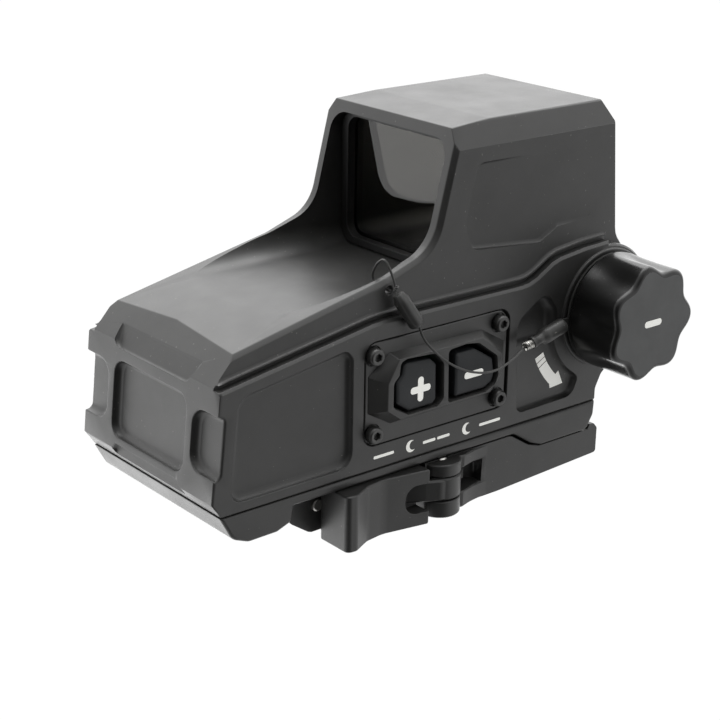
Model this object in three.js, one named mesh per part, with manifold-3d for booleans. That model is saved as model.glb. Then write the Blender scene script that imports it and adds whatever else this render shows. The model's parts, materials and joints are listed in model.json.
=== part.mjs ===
// Enclosed red dot sight with a transverse battery tube and a quick-release rail mount.
// Millimetres. +X points from the low deck end towards the hood, +Z is up, -Y is the keypad side.
// The parts are drawn in the housing's own frame: x = 0 at the low end's lower corner, z = 0 on the
// seam between the upper housing and the bottom cover. The assembly group then shifts them, so that
// the origin is the centre of the rail seat.
import * as THREE from 'three';
import { mergeVertices } from 'three/addons/utils/BufferGeometryUtils.js';
import Module from 'manifold-3d';

const wasm = await Module();
wasm.setup();

// ---- driving dimensions ----
const GAP = 0.3; // clearance between pieces that touch
const BODY_HALF = 23; // half width of the lower body
const UPPER_HALF = 20.8; // half width of the deck and the hood
const INNER_HALF = 18.1; // half width of the tunnel through the hood
const CAVITY_HALF = 20.2; // half width of the electronics cavity
const END_LEAN = 2.3; // how far the low end leans back over its height
const LIP_Z = 25.3; // top of the side wall at the low end
const DECK_X = 7.2; // where the deck starts
const DECK_Z = 30.75;
const DECK_SLOPE = 0.2136;
const CROWN = 0.9; // rise of the deck's middle over its edges
const DISH_Z = 34; // flat floor of the scooped dish and the tunnel
const EDGE_CHAMFER = 1.1;
const HOOD_TOP = 65.3; // hood roof at its rear edge
const HOOD_RISE = 0.9; // extra height at the hood's front
const HOOD_SHOULDER = 61.4; // where the hood's side chamfer starts
const HOOD_ROOF_HALF = 18;
const TUNNEL_TOP = 63.2;
const WINDOW_X = 64.9; // face of the rear window
const LENS_X = 102.2;
const TUBE = { x: 103.6, z: 21.6, outer: 14, bore: 9.1, mouth: 11.4 };
const MID_X = 62.5; // centre of the rail seat
const SEAT_Z = -8;
const MOUNT_HALF = 22.4;
const MOUNT_SPAN = [20, 104.5];
const MOUNT_BOTTOM = -14.6;
const PIVOT = { x: 58, y: -21.5, radius: 4.5, pin: 1.5 };
const RAIL = { top: 7.85, widest: 10.7, depth: 2.8, reach: 5.6 };
const KNOB = { face: -37, back: -24.6, radius: 12.9, lobe: 0.93, lobes: 7, phase: 0.21 };
const WIRE = 0.25; // lanyard wire radius
const EAR_REACH = 2.8; // how far the pivot's ears run back into the mount
const JAW_BACK = -14.6; // leaves 2 mm for the jaw to open before it meets the lever's knuckle
const GUIDES = [MID_X - 20, MID_X + 20]; // cross pins, which run inside the recoil lugs
const GUIDE_Z = SEAT_Z - 1.7;
const MOUNT_SCREWS = [[30, -4], [30, 4], [75, -4], [75, 4]];
const ARC = 6; // segments in a rounded corner

// ---- materials ----
const finish = (color, roughness, metalness) =>
  new THREE.MeshStandardMaterial({ color, roughness, metalness });
const anodised = finish(0x3a3a38, 0.55, 0.6);
const anodisedGloss = finish(0x1c1c1d, 0.3, 0.6);
const blackSteel = finish(0x2b2b2b, 0.4, 0.9);
const steel = finish(0xb8b8b6, 0.3, 1);
const rubber = finish(0x222222, 0.8, 0);
const glass = finish(0x5a5c55, 0.05, 0);
const board = finish(0x1d4a2c, 0.5, 0.1);
const chip = finish(0x151515, 0.5, 0.1);
const brass = finish(0xb08d4a, 0.35, 1);
const polymer = finish(0x1f1f20, 0.6, 0);
const cell = finish(0x3b4c5c, 0.4, 0.2);

// ---- helpers ----
const sight = new THREE.Group();
const assembly = new THREE.Group();
assembly.position.set(-MID_X, 0, -SEAT_Z);
sight.add(assembly);

// A closed outline whose corners [x, y, r] are rounded by r where r is given.
function outline(points) {
  const shape = new THREE.Shape();
  const corners = points.map(([x, y, r = 0]) => ({ p: new THREE.Vector2(x, y), r }));
  corners.forEach(({ p, r }, i) => {
    const before = corners.at(i - 1).p;
    const after = corners[(i + 1) % corners.length].p;
    const back = before.clone().sub(p);
    const ahead = after.clone().sub(p);
    const half = Math.abs(back.angleTo(ahead)) / 2;
    const reach = r ? Math.min(r / Math.tan(half), 0.48 * Math.min(back.length(), ahead.length())) : 0;
    const start = p.clone().add(back.setLength(reach));
    const end = p.clone().add(ahead.setLength(reach));
    if (i === 0) shape.moveTo(start.x, start.y);
    else shape.lineTo(start.x, start.y);
    if (r) shape.quadraticCurveTo(p.x, p.y, end.x, end.y);
  });
  shape.closePath();
  return shape;
}

const box2 = (x0, y0, x1, y1, r = 0) => outline([[x0, y0, r], [x1, y0, r], [x1, y1, r], [x0, y1, r]]);

function circle(x, y, r) {
  const shape = new THREE.Shape();
  shape.absarc(x, y, r, 0, 2 * Math.PI);
  return shape;
}

// Extrusions of an outline. bevel is [depth, size]: the outline shrinks by size over depth at both ends.
function extrude(shape, length, { bevel, segments = ARC } = {}) {
  const [depth, size] = bevel ?? [0, 0];
  const geometry = new THREE.ExtrudeGeometry(shape, {
    depth: length - 2 * depth, bevelEnabled: depth > 0, bevelThickness: depth, bevelSize: size,
    bevelOffset: -size, bevelSegments: 1, curveSegments: segments,
  });
  return closed(geometry).translate(0, 0, depth);
}

// Only positions, with shared vertices merged, so that the geometry is one closed mesh.
function closed(geometry) {
  geometry.deleteAttribute('normal');
  geometry.deleteAttribute('uv');
  return mergeVertices(geometry, 1e-4);
}

const AXES = {
  x: new THREE.Matrix4().makeBasis(
    new THREE.Vector3(0, 1, 0), new THREE.Vector3(0, 0, 1), new THREE.Vector3(1, 0, 0)),
  z: new THREE.Matrix4(),
};

// An outline in (x, z), from y0 to y1.
const alongY = (shape, y0, y1, options) =>
  solid(extrude(shape, y1 - y0, options).rotateX(Math.PI / 2).translate(0, y1, 0));
// An outline in (y, z), from x0 to x1.
const alongX = (shape, x0, x1, options) =>
  solid(extrude(shape, x1 - x0, options).applyMatrix4(AXES.x).translate(x0, 0, 0));
// An outline in (x, y), from z0 to z1.
const alongZ = (shape, z0, z1, options) =>
  solid(extrude(shape, z1 - z0, options).translate(0, 0, z0));

const block = (x0, x1, y0, y1, z0, z1) => solid(closed(new THREE.BoxGeometry(x1 - x0, y1 - y0, z1 - z0))
  .translate((x0 + x1) / 2, (y0 + y1) / 2, (z0 + z1) / 2));

// A closed geometry as a manifold solid.
function solid(geometry) {
  return new wasm.Manifold(new wasm.Mesh({
    numProp: 3,
    vertProperties: new Float32Array(geometry.attributes.position.array),
    triVerts: new Uint32Array(geometry.index.array),
  }));
}

const join = (...pieces) => pieces.reduce((all, piece) => all.add(piece));
const cut = (piece, ...tools) => tools.reduce((rest, tool) => rest.subtract(tool), piece);
const mirrorY = (piece) => piece.mirror([0, 1, 0]);
const bothSides = (piece) => join(piece, mirrorY(piece));

function part(name, piece, material) {
  const mesh = piece.getMesh();
  const geometry = new THREE.BufferGeometry();
  const positions = new Float32Array(mesh.vertProperties);
  geometry.setAttribute('position', new THREE.BufferAttribute(positions, 3));
  geometry.setIndex(new THREE.BufferAttribute(new Uint32Array(mesh.triVerts), 1));
  geometry.computeVertexNormals();
  const node = new THREE.Mesh(geometry, material);
  node.name = name;
  assembly.add(node);
}

// One node for each copy of a repeated piece, numbered from 1.
const copies = (name, places, make, material) =>
  places.forEach((place, i) => part(`${name}_${i + 1}`, make(place), material));

// A turned solid about an axis: profile of [radius, height] pairs, then pointed along -Y or Z.
function turned(profile, segments = 24) {
  const points = profile.map(([r, h]) => new THREE.Vector2(r, h));
  return closed(new THREE.LatheGeometry(points, segments)).rotateX(Math.PI / 2); // height runs along +Z
}
const turnedZ = (profile, x, y, segments) => solid(turned(profile, segments).translate(x, y, 0));
// height is measured along +Y
const turnedY = (profile, x, z, segments) =>
  solid(turned(profile, segments).rotateX(-Math.PI / 2).translate(x, 0, z));
const pinY = (x, z, r, y0, y1, segments = 24) =>
  turnedY([[0, y0], [r, y0], [r, y1], [0, y1]], x, z, segments);
const pinZ = (x, y, r, z0, z1, segments = 24) =>
  turnedZ([[0, z0], [r, z0], [r, z1], [0, z1]], x, y, segments);
const ringY = (x, z, inner, outer, y0, y1, segments = 32) =>
  turnedY([[inner, y0], [outer, y0], [outer, y1], [inner, y1], [inner, y0]], x, z, segments);

const tubeAlong = (points, radius, steps, sides = 8) => {
  const curve = new THREE.CatmullRomCurve3(points.map((p) => new THREE.Vector3(...p)));
  const section = new THREE.Shape();
  for (let i = 0; i < sides; i += 1) {
    const angle = (2 * Math.PI * i) / sides;
    const corner = [radius * Math.cos(angle), radius * Math.sin(angle)];
    if (i === 0) section.moveTo(...corner);
    else section.lineTo(...corner);
  }
  section.closePath();
  const options = { extrudePath: curve, steps, bevelEnabled: false };
  return solid(closed(new THREE.ExtrudeGeometry(section, options)));
};

// ---- upper housing ----
const deckAt = (x) => DECK_Z + DECK_SLOPE * (x - DECK_X);
const leanAt = (z) => END_LEAN * ((z - 3.3) / (25.4 - 3.3));

const LEDGE = [[3.2, LIP_Z], [40, 31.2], [80, 31], [88, 35.4, 4], [96, 36.8, 6]];

function tubeArc(shape, radius, from, to) {
  const steps = 16;
  for (let i = 0; i <= steps; i += 1) {
    const angle = THREE.MathUtils.degToRad(from + ((to - from) * i) / steps);
    shape.push([TUBE.x + radius * Math.cos(angle), TUBE.z + radius * Math.sin(angle)]);
  }
  return shape;
}

function lowerBlock() {
  const side = [[2, 0], [0, 3.3], [leanAt(LIP_Z), LIP_Z], ...LEDGE];
  tubeArc(side, TUBE.outer, 96, -76);
  side.push([104.3, 5.7, 1.5], [102.8, 2.8, 2], [102.8, 0]);
  return alongY(outline(side), -BODY_HALF, BODY_HALF, { bevel: [0.5, 0.4], segments: 3 });
}

function upperBlock() {
  const side = [
    [leanAt(20), 20], [leanAt(25.4), 25.4], [DECK_X, DECK_Z], [44, deckAt(44), 10], [55.4, 42.6, 9],
    [61.2, HOOD_TOP + 0.2], [104, HOOD_TOP + HOOD_RISE], [105.9, 61.5], [108.3, 34], [100, 20],
  ];
  const slab = alongY(outline(side), -UPPER_HALF, UPPER_HALF, { bevel: [EDGE_CHAMFER, EDGE_CHAMFER] });
  const across = outline([
    [-BODY_HALF, 0], [BODY_HALF, 0], [BODY_HALF, 40], [UPPER_HALF, HOOD_SHOULDER],
    [HOOD_ROOF_HALF, HOOD_TOP + 0.4], [HOOD_ROOF_HALF - 2, 70], [2 - HOOD_ROOF_HALF, 70],
    [-HOOD_ROOF_HALF, HOOD_TOP + 0.4], [-UPPER_HALF, HOOD_SHOULDER], [-BODY_HALF, 40],
  ]);
  return slab.intersect(alongX(across, -5, 120));
}

// A shallow roof over the deck, which follows its slope.
function deckCrown() {
  const edge = UPPER_HALF - EDGE_CHAMFER;
  const length = 50 - DECK_X;
  const roof = extrude(outline([[-edge, -2], [edge, -2], [edge, 0], [0, CROWN], [-edge, 0]]), length)
    .applyMatrix4(AXES.x);
  const slope = new THREE.Matrix4().makeShear(0, DECK_SLOPE, 0, 0, 0, 0);
  return solid(roof.applyMatrix4(slope).translate(DECK_X, 0, DECK_Z));
}

// A shallow tapered pocket in a side wall; points are (x, z) at the mouth.
function sidePocket(points, half, depth, slope = 0.9) {
  const mouth = outline(points);
  const tool = alongY(mouth, -half - depth, -half + depth, { bevel: [depth * 0.98, slope], segments: 4 });
  return bothSides(tool);
}

function endPockets() {
  const depth = 1.5;
  const lean = Math.atan2(END_LEAN, 25.4 - 3.3);
  const place = (shape, wall) => {
    const tool = extrude(shape, 2 * depth, { bevel: [depth * 0.98, wall], segments: 4 });
    tool.applyMatrix4(AXES.x).translate(-depth, 0, 0).rotateY(lean);
    return solid(tool.translate(-0.35, 0, 0));
  };
  const pane = place(box2(-12.7, 5.8, 12.7, 21.8, 3), 1.1);
  const flank = place(box2(14.8, 8, 26, 20.5, 3), 1.1);
  const foot = place(outline([[-12.7, -4], [12.7, -4], [12.7, 2.6], [10.7, 4.5], [-10.7, 4.5],
    [-12.7, 2.6]]), 0.8);
  const bevel = Math.atan2(DECK_X - END_LEAN, DECK_Z - 25.4);
  const browTool = extrude(outline([[-13.5, -0.8, 2], [13.5, -0.8, 2], [15.5, 5.2], [-15.5, 5.2]]),
    2 * depth, { bevel: [depth * 0.98, 1], segments: 4 }).applyMatrix4(AXES.x).translate(-depth, 0, 0);
  const brow = solid(browTool.rotateY(bevel).translate(END_LEAN - 0.2, 0, 25.4));
  return [pane, flank, mirrorY(flank), foot, brow];
}

function tunnel() {
  const section = box2(-INNER_HALF, DISH_Z, INNER_HALF, TUNNEL_TOP, 4);
  const mouth = outline([
    [-INNER_HALF, DISH_Z, 5], [INNER_HALF, DISH_Z, 5], [INNER_HALF, TUNNEL_TOP, 4],
    [-INNER_HALF, TUNNEL_TOP, 4],
  ]);
  return [
    alongX(mouth, 8, 60),
    alongX(section, 58, LENS_X - 1.6),
    alongX(box2(-16.6, 38.2, 16.6, 61.6, 4), 90, 115),
    alongX(box2(-INNER_HALF + 0.3, 36.6, INNER_HALF - 0.3, 62.8, 4), LENS_X - 1.7, LENS_X + 2.6),
  ];
}

function electronicsCavity() {
  const side = outline([
    [5, -1], [6.6, 22.5], [11, 27.6], [24, 31], [64, 31], [80, 28.6], [87.5, 27], [87.5, -1],
  ]);
  return alongY(side, -CAVITY_HALF, CAVITY_HALF);
}

const EMITTER = { x: 74, y: 0, z: 30 };
const ADJUSTERS = [{ name: 'windage', x: 69, z: 23.4 }, { name: 'elevation', x: 79, z: 23.4 }];
const KEYS = { x0: 36.4, x1: 74.2, wellEnd: 75, z0: 5.5, z1: 27, corner: 2.8, back: -22.1, floor: -21.45 };
const KEY_WINDOW = [41.2, 9, 70.7, 23.4];
const KEY_SCREWS = [[38.25, 24.5], [71.7, 24.5], [38.25, 8.1], [71.7, 8.1]];
const COVER_SCREWS = [[14, -16.8], [14, 16.8], [96.5, -17], [96.5, 17]];
const BOARD_POSTS = [[24, -13], [62, 13]];
const ANCHOR = { x: 43.8, z: 36.2, r: 0.9 }; // hole in the deck rim for the lanyard

function upperHousing() {
  const shell = join(lowerBlock(), upperBlock(), deckCrown(),
    ringY(TUBE.x, TUBE.z, 10, 13.2, -BODY_HALF - 0.5, -BODY_HALF + 2));
  const keyWell = alongY(box2(KEYS.x0 - 0.2, KEYS.z0 - 0.2, KEYS.wellEnd, KEYS.z1 + 0.2, KEYS.corner),
    -BODY_HALF - 1, KEYS.floor);
  const keyWindow = alongY(box2(...KEY_WINDOW, 1.5), -BODY_HALF - 1, -CAVITY_HALF + 1, { segments: 3 });
  const tools = [
    ...tunnel(),
    electronicsCavity(),
    ...endPockets(),
    sidePocket([[4.2, 2.4, 3], [6.4, 22.7, 3], [32.6, 27, 3.5], [33.2, 2.4, 3.5]], BODY_HALF, 1.4),
    sidePocket([
      [66.5, 58.3, 2], [92, 58.3, 2], [92, 41.6, 2], [88.5, 38.6, 3], [66, 40.2, 3], [63.6, 45, 3],
    ], UPPER_HALF, 0.7, 0.6),
    mirrorY(alongY(box2(78.6, 3, 90, 17.5, 2.5), BODY_HALF - 1.4, BODY_HALF + 2, { segments: 3 })),
    pinY(TUBE.x, TUBE.z, TUBE.bore, -BODY_HALF - 4, 18.6, 32),
    pinY(TUBE.x, TUBE.z, TUBE.mouth, -BODY_HALF - 4, -17.2, 32),
    keyWell,
    keyWindow,
    pinY(ANCHOR.x, ANCHOR.z, ANCHOR.r, -UPPER_HALF - 1, -INNER_HALF + 2, 12),
    block(70.5, 78.5, -7.5, 7.5, 27, 37), // light path from the emitter into the hood
    ...KEY_SCREWS.map(([x, z]) => pinY(x, z, 1.15, -BODY_HALF - 1, -CAVITY_HALF - 0.4, 12)),
    ...COVER_SCREWS.map(([x, y]) => pinZ(x, y, 1.4, -1, 6, 12)),
    ...ADJUSTERS.flatMap(({ x, z }) => [
      pinY(x, z, 4.6, BODY_HALF - 1.5, BODY_HALF + 1),
      pinY(x, z, 2.4, CAVITY_HALF - 1, BODY_HALF + 1, 16),
    ]),
  ];
  const groove = bothSides(alongY(outline([
    [0, 24.2], [3, 24.9], [40, 30.6], [80.4, 30.4], [88.2, 34.8, 4], [96, 36.2, 5], [103.6, 36],
    [103.6, 40], [96, 38.4, 5], [87, 37, 4], [79.6, 32.6], [40, 32.7], [2, 26.7], [0, 26.4],
  ]), -BODY_HALF - 1, -UPPER_HALF - 0.9));
  return cut(shell, groove, ...tools);
}

// A flat rectangular frame around the electronics cavity.
function frame(x0, x1, half, z0, z1, width) {
  return cut(block(x0, x1, -half, half, z0, z1),
    block(x0 + width, x1 - width, -half + width, half - width, z0 - 1, z1 + 1));
}

function bottomCover() {
  const side = outline([
    [2, -GAP / 2], [4.8, -5.2, 3], [8.5, -6.7, 3], [15.2, -6.6, 2], [18.6, -5.4, 1.5], [19.2, -2.1],
    [78, -2.1, 3], [83.5, -5.6, 3], [86.5, -6.7, 2], [100.6, -6.7, 2], [102.6, -3.4, 2],
    [102.8, -GAP / 2],
  ]);
  const shell = alongY(side, -BODY_HALF, BODY_HALF, { bevel: [0.4, 0.4], segments: 4 });
  const tongue = frame(7.3, 85.7, CAVITY_HALF - 1.6, -1.2, 1.6, 1.6);
  const posts = BOARD_POSTS.map(([x, y]) => pinZ(x, y, 2.4, -1.4, 3.4, 12));
  const bores = COVER_SCREWS.flatMap(([x, y]) => [
    pinZ(x, y, 1.4, -12, 3, 12),
    pinZ(x, y, 2.3, -12, -4.1, 16),
  ]);
  const taps = BOARD_POSTS.map(([x, y]) => pinZ(x, y, 0.9, -0.6, 8, 8));
  return cut(join(shell, tongue, ...posts), ...bores, ...taps);
}

// A socket head cap screw with its head towards `up` along Z, as a turned solid with a hex socket.
function capScrewZ(x, y, seat, { head = 1.9, height = 1.8, shank = 0.95, length = 6, up = 1 }) {
  const socket = alongZ(circle(0, 0, head * 0.48), height * 0.45, height + 1, { segments: 3 });
  const body = turnedZ([[0, -length], [shank, -length], [shank, 0], [head, 0], [head, height * 0.86],
    [head * 0.88, height], [0, height]], 0, 0, 16);
  let screw = cut(body, socket);
  if (up < 0) screw = screw.rotate([180, 0, 0]);
  return screw.translate([x, y, seat]);
}
const capScrewY = (x, z, seat, size) => capScrewZ(0, 0, 0, size).rotate([90, 0, 0]).translate([x, seat, z]);

// ---- keypad ----
const BUTTONS = [
  {
    name: 'plus_button',
    corners: [[42.7, 14], [42.6, 18.4], [44, 19.8], [44.4, 22.1], [51.4, 21.7], [53.1, 20.2], [53.3, 12.6],
      [52.4, 11.7], [46, 11.7]],
    opening: [[41.8, 13.6], [41.8, 18.8], [43.3, 22.3], [44.8, 22.9], [52, 22.5], [54.5, 20], [54.7, 12.6],
      [53.2, 11.35], [45.6, 11.35]],
  },
  {
    name: 'minus_button',
    corners: [[58.2, 11.8], [58.1, 21.2], [63.4, 21.2], [68.6, 18], [69.2, 14.4], [68.6, 12.8], [66.4, 11.8]],
    opening: [[56.3, 11.4], [56, 22.4], [60.6, 22.7], [64, 22.2], [69.2, 18.4], [69.7, 14.3], [69, 12.5],
      [66.5, 11.4]],
  },
];
const BUTTON_FACE = -25.1;
const BUTTON_FOOT = -20.6;
const BUTTON_FLANGE = 1; // how far the foot spreads behind the plate
const KEY_SCREW = { head: 1.8, height: 1.6, shank: 0.85, length: 2.2 };
const KEY_BACK = 21.9; // front of the buttons' flanges behind the gasket
const KEY_SWITCH = 17.7; // front of the switches' plungers

const centre = (corners) => {
  const middle = (axis) => {
    const values = corners.map((corner) => corner[axis]);
    return (Math.min(...values) + Math.max(...values)) / 2;
  };
  return [middle(0), middle(1)];
};

// Corners moved out from their centre by a distance, then rounded.
const rounded = (corners, by = 0, radius = 0.8) => {
  const [cx, cz] = centre(corners);
  return outline(corners.map(([x, z]) => [x + by * Math.sign(x - cx), z + by * Math.sign(z - cz), radius]));
};

function keypadPlate() {
  const plate = alongY(box2(KEYS.x0, KEYS.z0, KEYS.x1, KEYS.z1, KEYS.corner), -BODY_HALF, KEYS.back);
  const surround = alongY(outline([
    [37, 12.9], [37, 20.3], [42.6, 23.8], [66.8, 23.8], [73.2, 19.9], [73.2, 13.6], [70.2, 9.6], [42.4, 9.5],
  ]), -BODY_HALF - 2.5, KEYS.back, { bevel: [0.4, 0.4] });
  const wedge = alongY(outline([[36, 9], [40.2, 9], [40.2, 24], [36, 24]]), -BODY_HALF - 4, -BODY_HALF - 1.2);
  const openings = BUTTONS.map(({ opening }) =>
    alongY(rounded(opening), -BODY_HALF - 5, KEYS.floor + 1, { segments: 3 }));
  const seats = KEY_SCREWS.flatMap(([x, z]) => [
    pinY(x, z, 2.2, -BODY_HALF - 5, -BODY_HALF + 0.2, 16),
    pinY(x, z, 1.3, -BODY_HALF - 1, KEYS.floor + 1, 12),
  ]);
  return cut(join(plate, surround), wedge, ...openings, ...seats);
}

function button({ corners }) {
  const cap = alongY(rounded(corners), BUTTON_FACE, BUTTON_FOOT, { bevel: [0.5, 0.5], segments: 3 });
  const flange = alongY(rounded(corners, BUTTON_FLANGE), -KEY_BACK, BUTTON_FOOT, { segments: 3 });
  const [cx, cz] = centre(corners);
  const stem = pinY(cx, cz, 1.4, -CAVITY_HALF - 1, -KEY_SWITCH - 0.8, 12);
  return join(cap, flange, stem);
}

function keypad() {
  part('keypad_plate', keypadPlate(), anodised);
  BUTTONS.forEach((item) => part(item.name, button(item), rubber));
  const gasket = cut(
    alongY(box2(KEYS.x0 + 0.2, KEYS.z0 + 0.2, KEYS.x1 - 0.2, KEYS.z1 - 0.2, KEYS.corner), -22, -21.55),
    alongY(box2(...KEY_WINDOW, 1), -23, -20, { segments: 3 }),
    ...KEY_SCREWS.map(([x, z]) => pinY(x, z, 1.2, -23, -20, 12)),
  );
  part('keypad_gasket', gasket, rubber);
  copies('keypad_screw', KEY_SCREWS, ([x, z]) =>
    capScrewY(x, z, -BODY_HALF - 0.1, KEY_SCREW), blackSteel);
  const boardBack = -14.6;
  const boardSolid = alongY(box2(44.5, 8, 71, 23.5, 1), boardBack - 1, boardBack, { segments: 3 });
  part('keypad_board', boardSolid, board);
  copies('tact_switch', BUTTONS, ({ corners }) => {
    const [cx, cz] = centre(corners);
    return join(block(cx - 2.2, cx + 2.2, boardBack - 3, boardBack - 1.05, cz - 2.2, cz + 2.2),
      pinY(cx, cz, 1, -KEY_SWITCH, boardBack - 2.5, 12));
  }, polymer);
}

// ---- battery ----
function knobOutline(radius) {
  const shape = new THREE.Shape();
  const steps = 12 * KNOB.lobes;
  for (let i = 0; i < steps; i += 1) {
    const angle = (2 * Math.PI * i) / steps;
    const r = radius - KNOB.lobe + KNOB.lobe * Math.cos(KNOB.lobes * angle + KNOB.phase);
    const corner = [TUBE.x + r * Math.cos(angle), TUBE.z + r * Math.sin(angle)];
    if (i === 0) shape.moveTo(...corner);
    else shape.lineTo(...corner);
  }
  shape.closePath();
  return shape;
}

function batteryCap() {
  const rim = { bevel: [0.8, 0.8], segments: 1 };
  const grip = alongY(knobOutline(KNOB.radius), KNOB.face, KNOB.back, rim);
  const plug = turnedY([
    [0, KNOB.back - 1], [9.2, KNOB.back - 1], [9.2, -22.6], [10.9, -22.6], [10.9, -20.2], [9.6, -20.2],
    [9.6, -18.6], [10.9, -18.6], [10.9, -17.7], [8.4, -17.7], [8.4, -19], [0, -19],
  ], TUBE.x, TUBE.z, 32);
  return join(grip, plug);
}

function battery() {
  part('battery_cap', batteryCap(), anodisedGloss);
  part('cap_oring', ringY(TUBE.x, TUBE.z, 9.8, 11, -20, -18.8, 24), rubber);
  part('cap_contact', pinY(TUBE.x, TUBE.z, 5, -18.8, -18.3, 24), brass);
  const can = [
    [0, -17.9], [8, -17.9], [8.4, -17.4], [8.4, 14], [8, 14.5], [3.4, 14.5], [3.4, 15.3], [0, 15.3],
  ];
  part('battery_cell', turnedY(can, TUBE.x, TUBE.z, 24), cell);
  part('contact_plate', pinY(TUBE.x, TUBE.z, 6, 17.6, 18.2, 24), brass);
  const coil = { radius: 4.6, low: 15.4, rise: 1.7, turns: 3, perTurn: 10 };
  const spring = [];
  for (let i = 0; i <= coil.perTurn * coil.turns; i += 1) {
    const angle = (2 * Math.PI * i) / coil.perTurn;
    spring.push([
      TUBE.x + coil.radius * Math.cos(angle),
      coil.low + (coil.rise * i) / (coil.perTurn * coil.turns),
      TUBE.z + coil.radius * Math.sin(angle),
    ]);
  }
  part('contact_spring', tubeAlong(spring, 0.25, 42, 6), steel);
}

// ---- lanyard ----
const NECK = { y0: -24.3, y1: -23.8, inner: 9.6, outer: 12.4 };
const ROUTE = [
  [47.95, -25.35, 28.9], [48.6, -26.1, 26.6], [50.7, -26.8, 23.9], [54.2, -27.1, 20.85], [57.7, -27.3, 18.7],
  [61, -27.4, 17.3], [64.7, -27.4, 16.4], [68.5, -27.2, 16.35], [72.4, -26.8, 17.3], [75.3, -26.4, 18.5],
  [78.2, -26, 19.2],
];
const LOOP = [
  [43.8, -21.2, 36.2], [43.8, -19.4, 36.2], [43.6, -17.2, 36.6], [43.2, -16.4, 38.2], [42.9, -17.6, 40.4],
  [42.8, -19.2, 42], [43, -20.4, 42.2], [43.4, -21.4, 40.6], [43.9, -22.2, 38.2], [44.05, -22.6, 36.4],
];
const REAR_SLEEVE = { from: [44.2, -22.9, 35.9], to: [47.75, -25.15, 29.3], radius: 1.65 };
const FRONT_SLEEVE = { from: [78.5, -25.95, 19.25], to: [88.5, -25.4, 21.1], radius: 1.75 };

const sleeve = ({ from, to, radius }) => {
  const a = new THREE.Vector3(...from);
  const b = new THREE.Vector3(...to);
  const length = a.distanceTo(b);
  const profile = [
    [0, 0], [radius * 0.7, 0], [radius, 0.8], [radius, length - 0.8], [radius * 0.7, length], [0, length],
  ].map(([r, h]) => new THREE.Vector2(r, h));
  const along = b.clone().sub(a).normalize();
  const turn = new THREE.Quaternion().setFromUnitVectors(new THREE.Vector3(0, 1, 0), along);
  return solid(closed(new THREE.LatheGeometry(profile, 12)).applyQuaternion(turn).translate(...from));
};

function lanyard() {
  part('lanyard_loop', tubeAlong(LOOP, WIRE, 24), blackSteel);
  part('lanyard_sleeve_rear', sleeve(REAR_SLEEVE), rubber);
  part('lanyard_wire', tubeAlong(ROUTE, WIRE, 40), blackSteel);
  part('lanyard_sleeve_front', sleeve(FRONT_SLEEVE), rubber);
  const tab = block(TUBE.x - NECK.outer - 1.6, TUBE.x - NECK.outer + 1, NECK.y0, NECK.y1, 20.4, 21.8);
  const band = ringY(TUBE.x, TUBE.z, NECK.inner, NECK.outer, NECK.y0, NECK.y1);
  part('lanyard_ring', join(band, tab), blackSteel);
}

// ---- optics ----
function optics() {
  const low = DISH_Z + GAP;
  const high = TUNNEL_TOP - GAP;
  const fit = box2(-INNER_HALF + GAP, low, INNER_HALF - GAP, high, 3.6);
  const pane = box2(-INNER_HALF + GAP, DISH_Z + 0.6, INNER_HALF - GAP, high, 3.6);
  part('rear_window', alongX(pane, WINDOW_X, WINDOW_X + 2, { segments: 4 }), glass);
  const rim = cut(
    alongX(fit, WINDOW_X + 2.3, WINDOW_X + 3.8),
    alongX(box2(-INNER_HALF + 1.3, DISH_Z + 2, INNER_HALF - 1.3, TUNNEL_TOP - 1.3, 2.8),
      WINDOW_X, WINDOW_X + 5),
  );
  part('window_retainer', rim, polymer);
  const bezel = cut(
    alongX(fit, WINDOW_X - 2.3, WINDOW_X - GAP),
    alongX(box2(-INNER_HALF + 0.9, DISH_Z + 2.6, INNER_HALF - 0.9, TUNNEL_TOP - 0.9, 3),
      WINDOW_X - 5, WINDOW_X + 1),
  );
  part('window_bezel', bezel, rubber);
  const lens = box2(-INNER_HALF + 0.9, 37.2, INNER_HALF - 0.9, 62.2, 3.4);
  part('front_lens', alongX(lens, LENS_X, LENS_X + 2), glass);
  const spacer = cut(
    alongX(lens, LENS_X - 1.4, LENS_X - GAP),
    alongX(box2(-16.4, 38.6, 16.4, 60.8, 3), LENS_X - 3, LENS_X + 1),
  );
  part('lens_spacer', spacer, polymer);
}

// ---- emitter and adjusters ----
function emitter() {
  const { x, z } = EMITTER;
  const cradle = cut(
    block(x - 9.5, x + 9.5, -10, 10, 19.8, 26.6),
    block(x - 7, x + 7, -7, 7, 21.4, 28),
    ...ADJUSTERS.map((item) => pinY(item.x, item.z, 1.8, 5, 12, 12)),
  );
  part('emitter_cradle', cradle, polymer);
  const windageBlock = cut(
    block(x - 6.4, x + 6.4, -5.6, 5.6, 21.8, 24.6),
    block(x - 4.2, x + 4.2, -3.8, 3.8, 22.8, 26),
  );
  part('windage_carriage', windageBlock, brass);
  part('elevation_carriage', block(x - 3.6, x + 3.6, -3.2, 3.2, 23.8, 27.2), brass);
  const module = join(
    block(x - 3, x + 3, -3, 3, 27.5, 31),
    turnedZ([[0, 30.8], [2, 30.8], [2, 33.4], [1.6, 33.8], [0, 33.8]], x, 0, 16),
  );
  part('emitter_module', module, chip);
  ADJUSTERS.forEach((item) => {
    const slot = block(item.x - 3.4, item.x + 3.4, BODY_HALF - 0.5, BODY_HALF + 1,
      item.z - 0.45, item.z + 0.45);
    const screw = turnedY([
      [0, 6.7], [1.4, 6.7], [1.4, 13], [2, 13], [2, BODY_HALF - 1.2], [4.2, BODY_HALF - 1.2],
      [4.2, BODY_HALF - 0.2], [3.9, BODY_HALF + 0.1], [0, BODY_HALF + 0.1],
    ], item.x, item.z, 20);
    part(`${item.name}_adjuster`, cut(screw, slot), blackSteel);
  });
}

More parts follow.
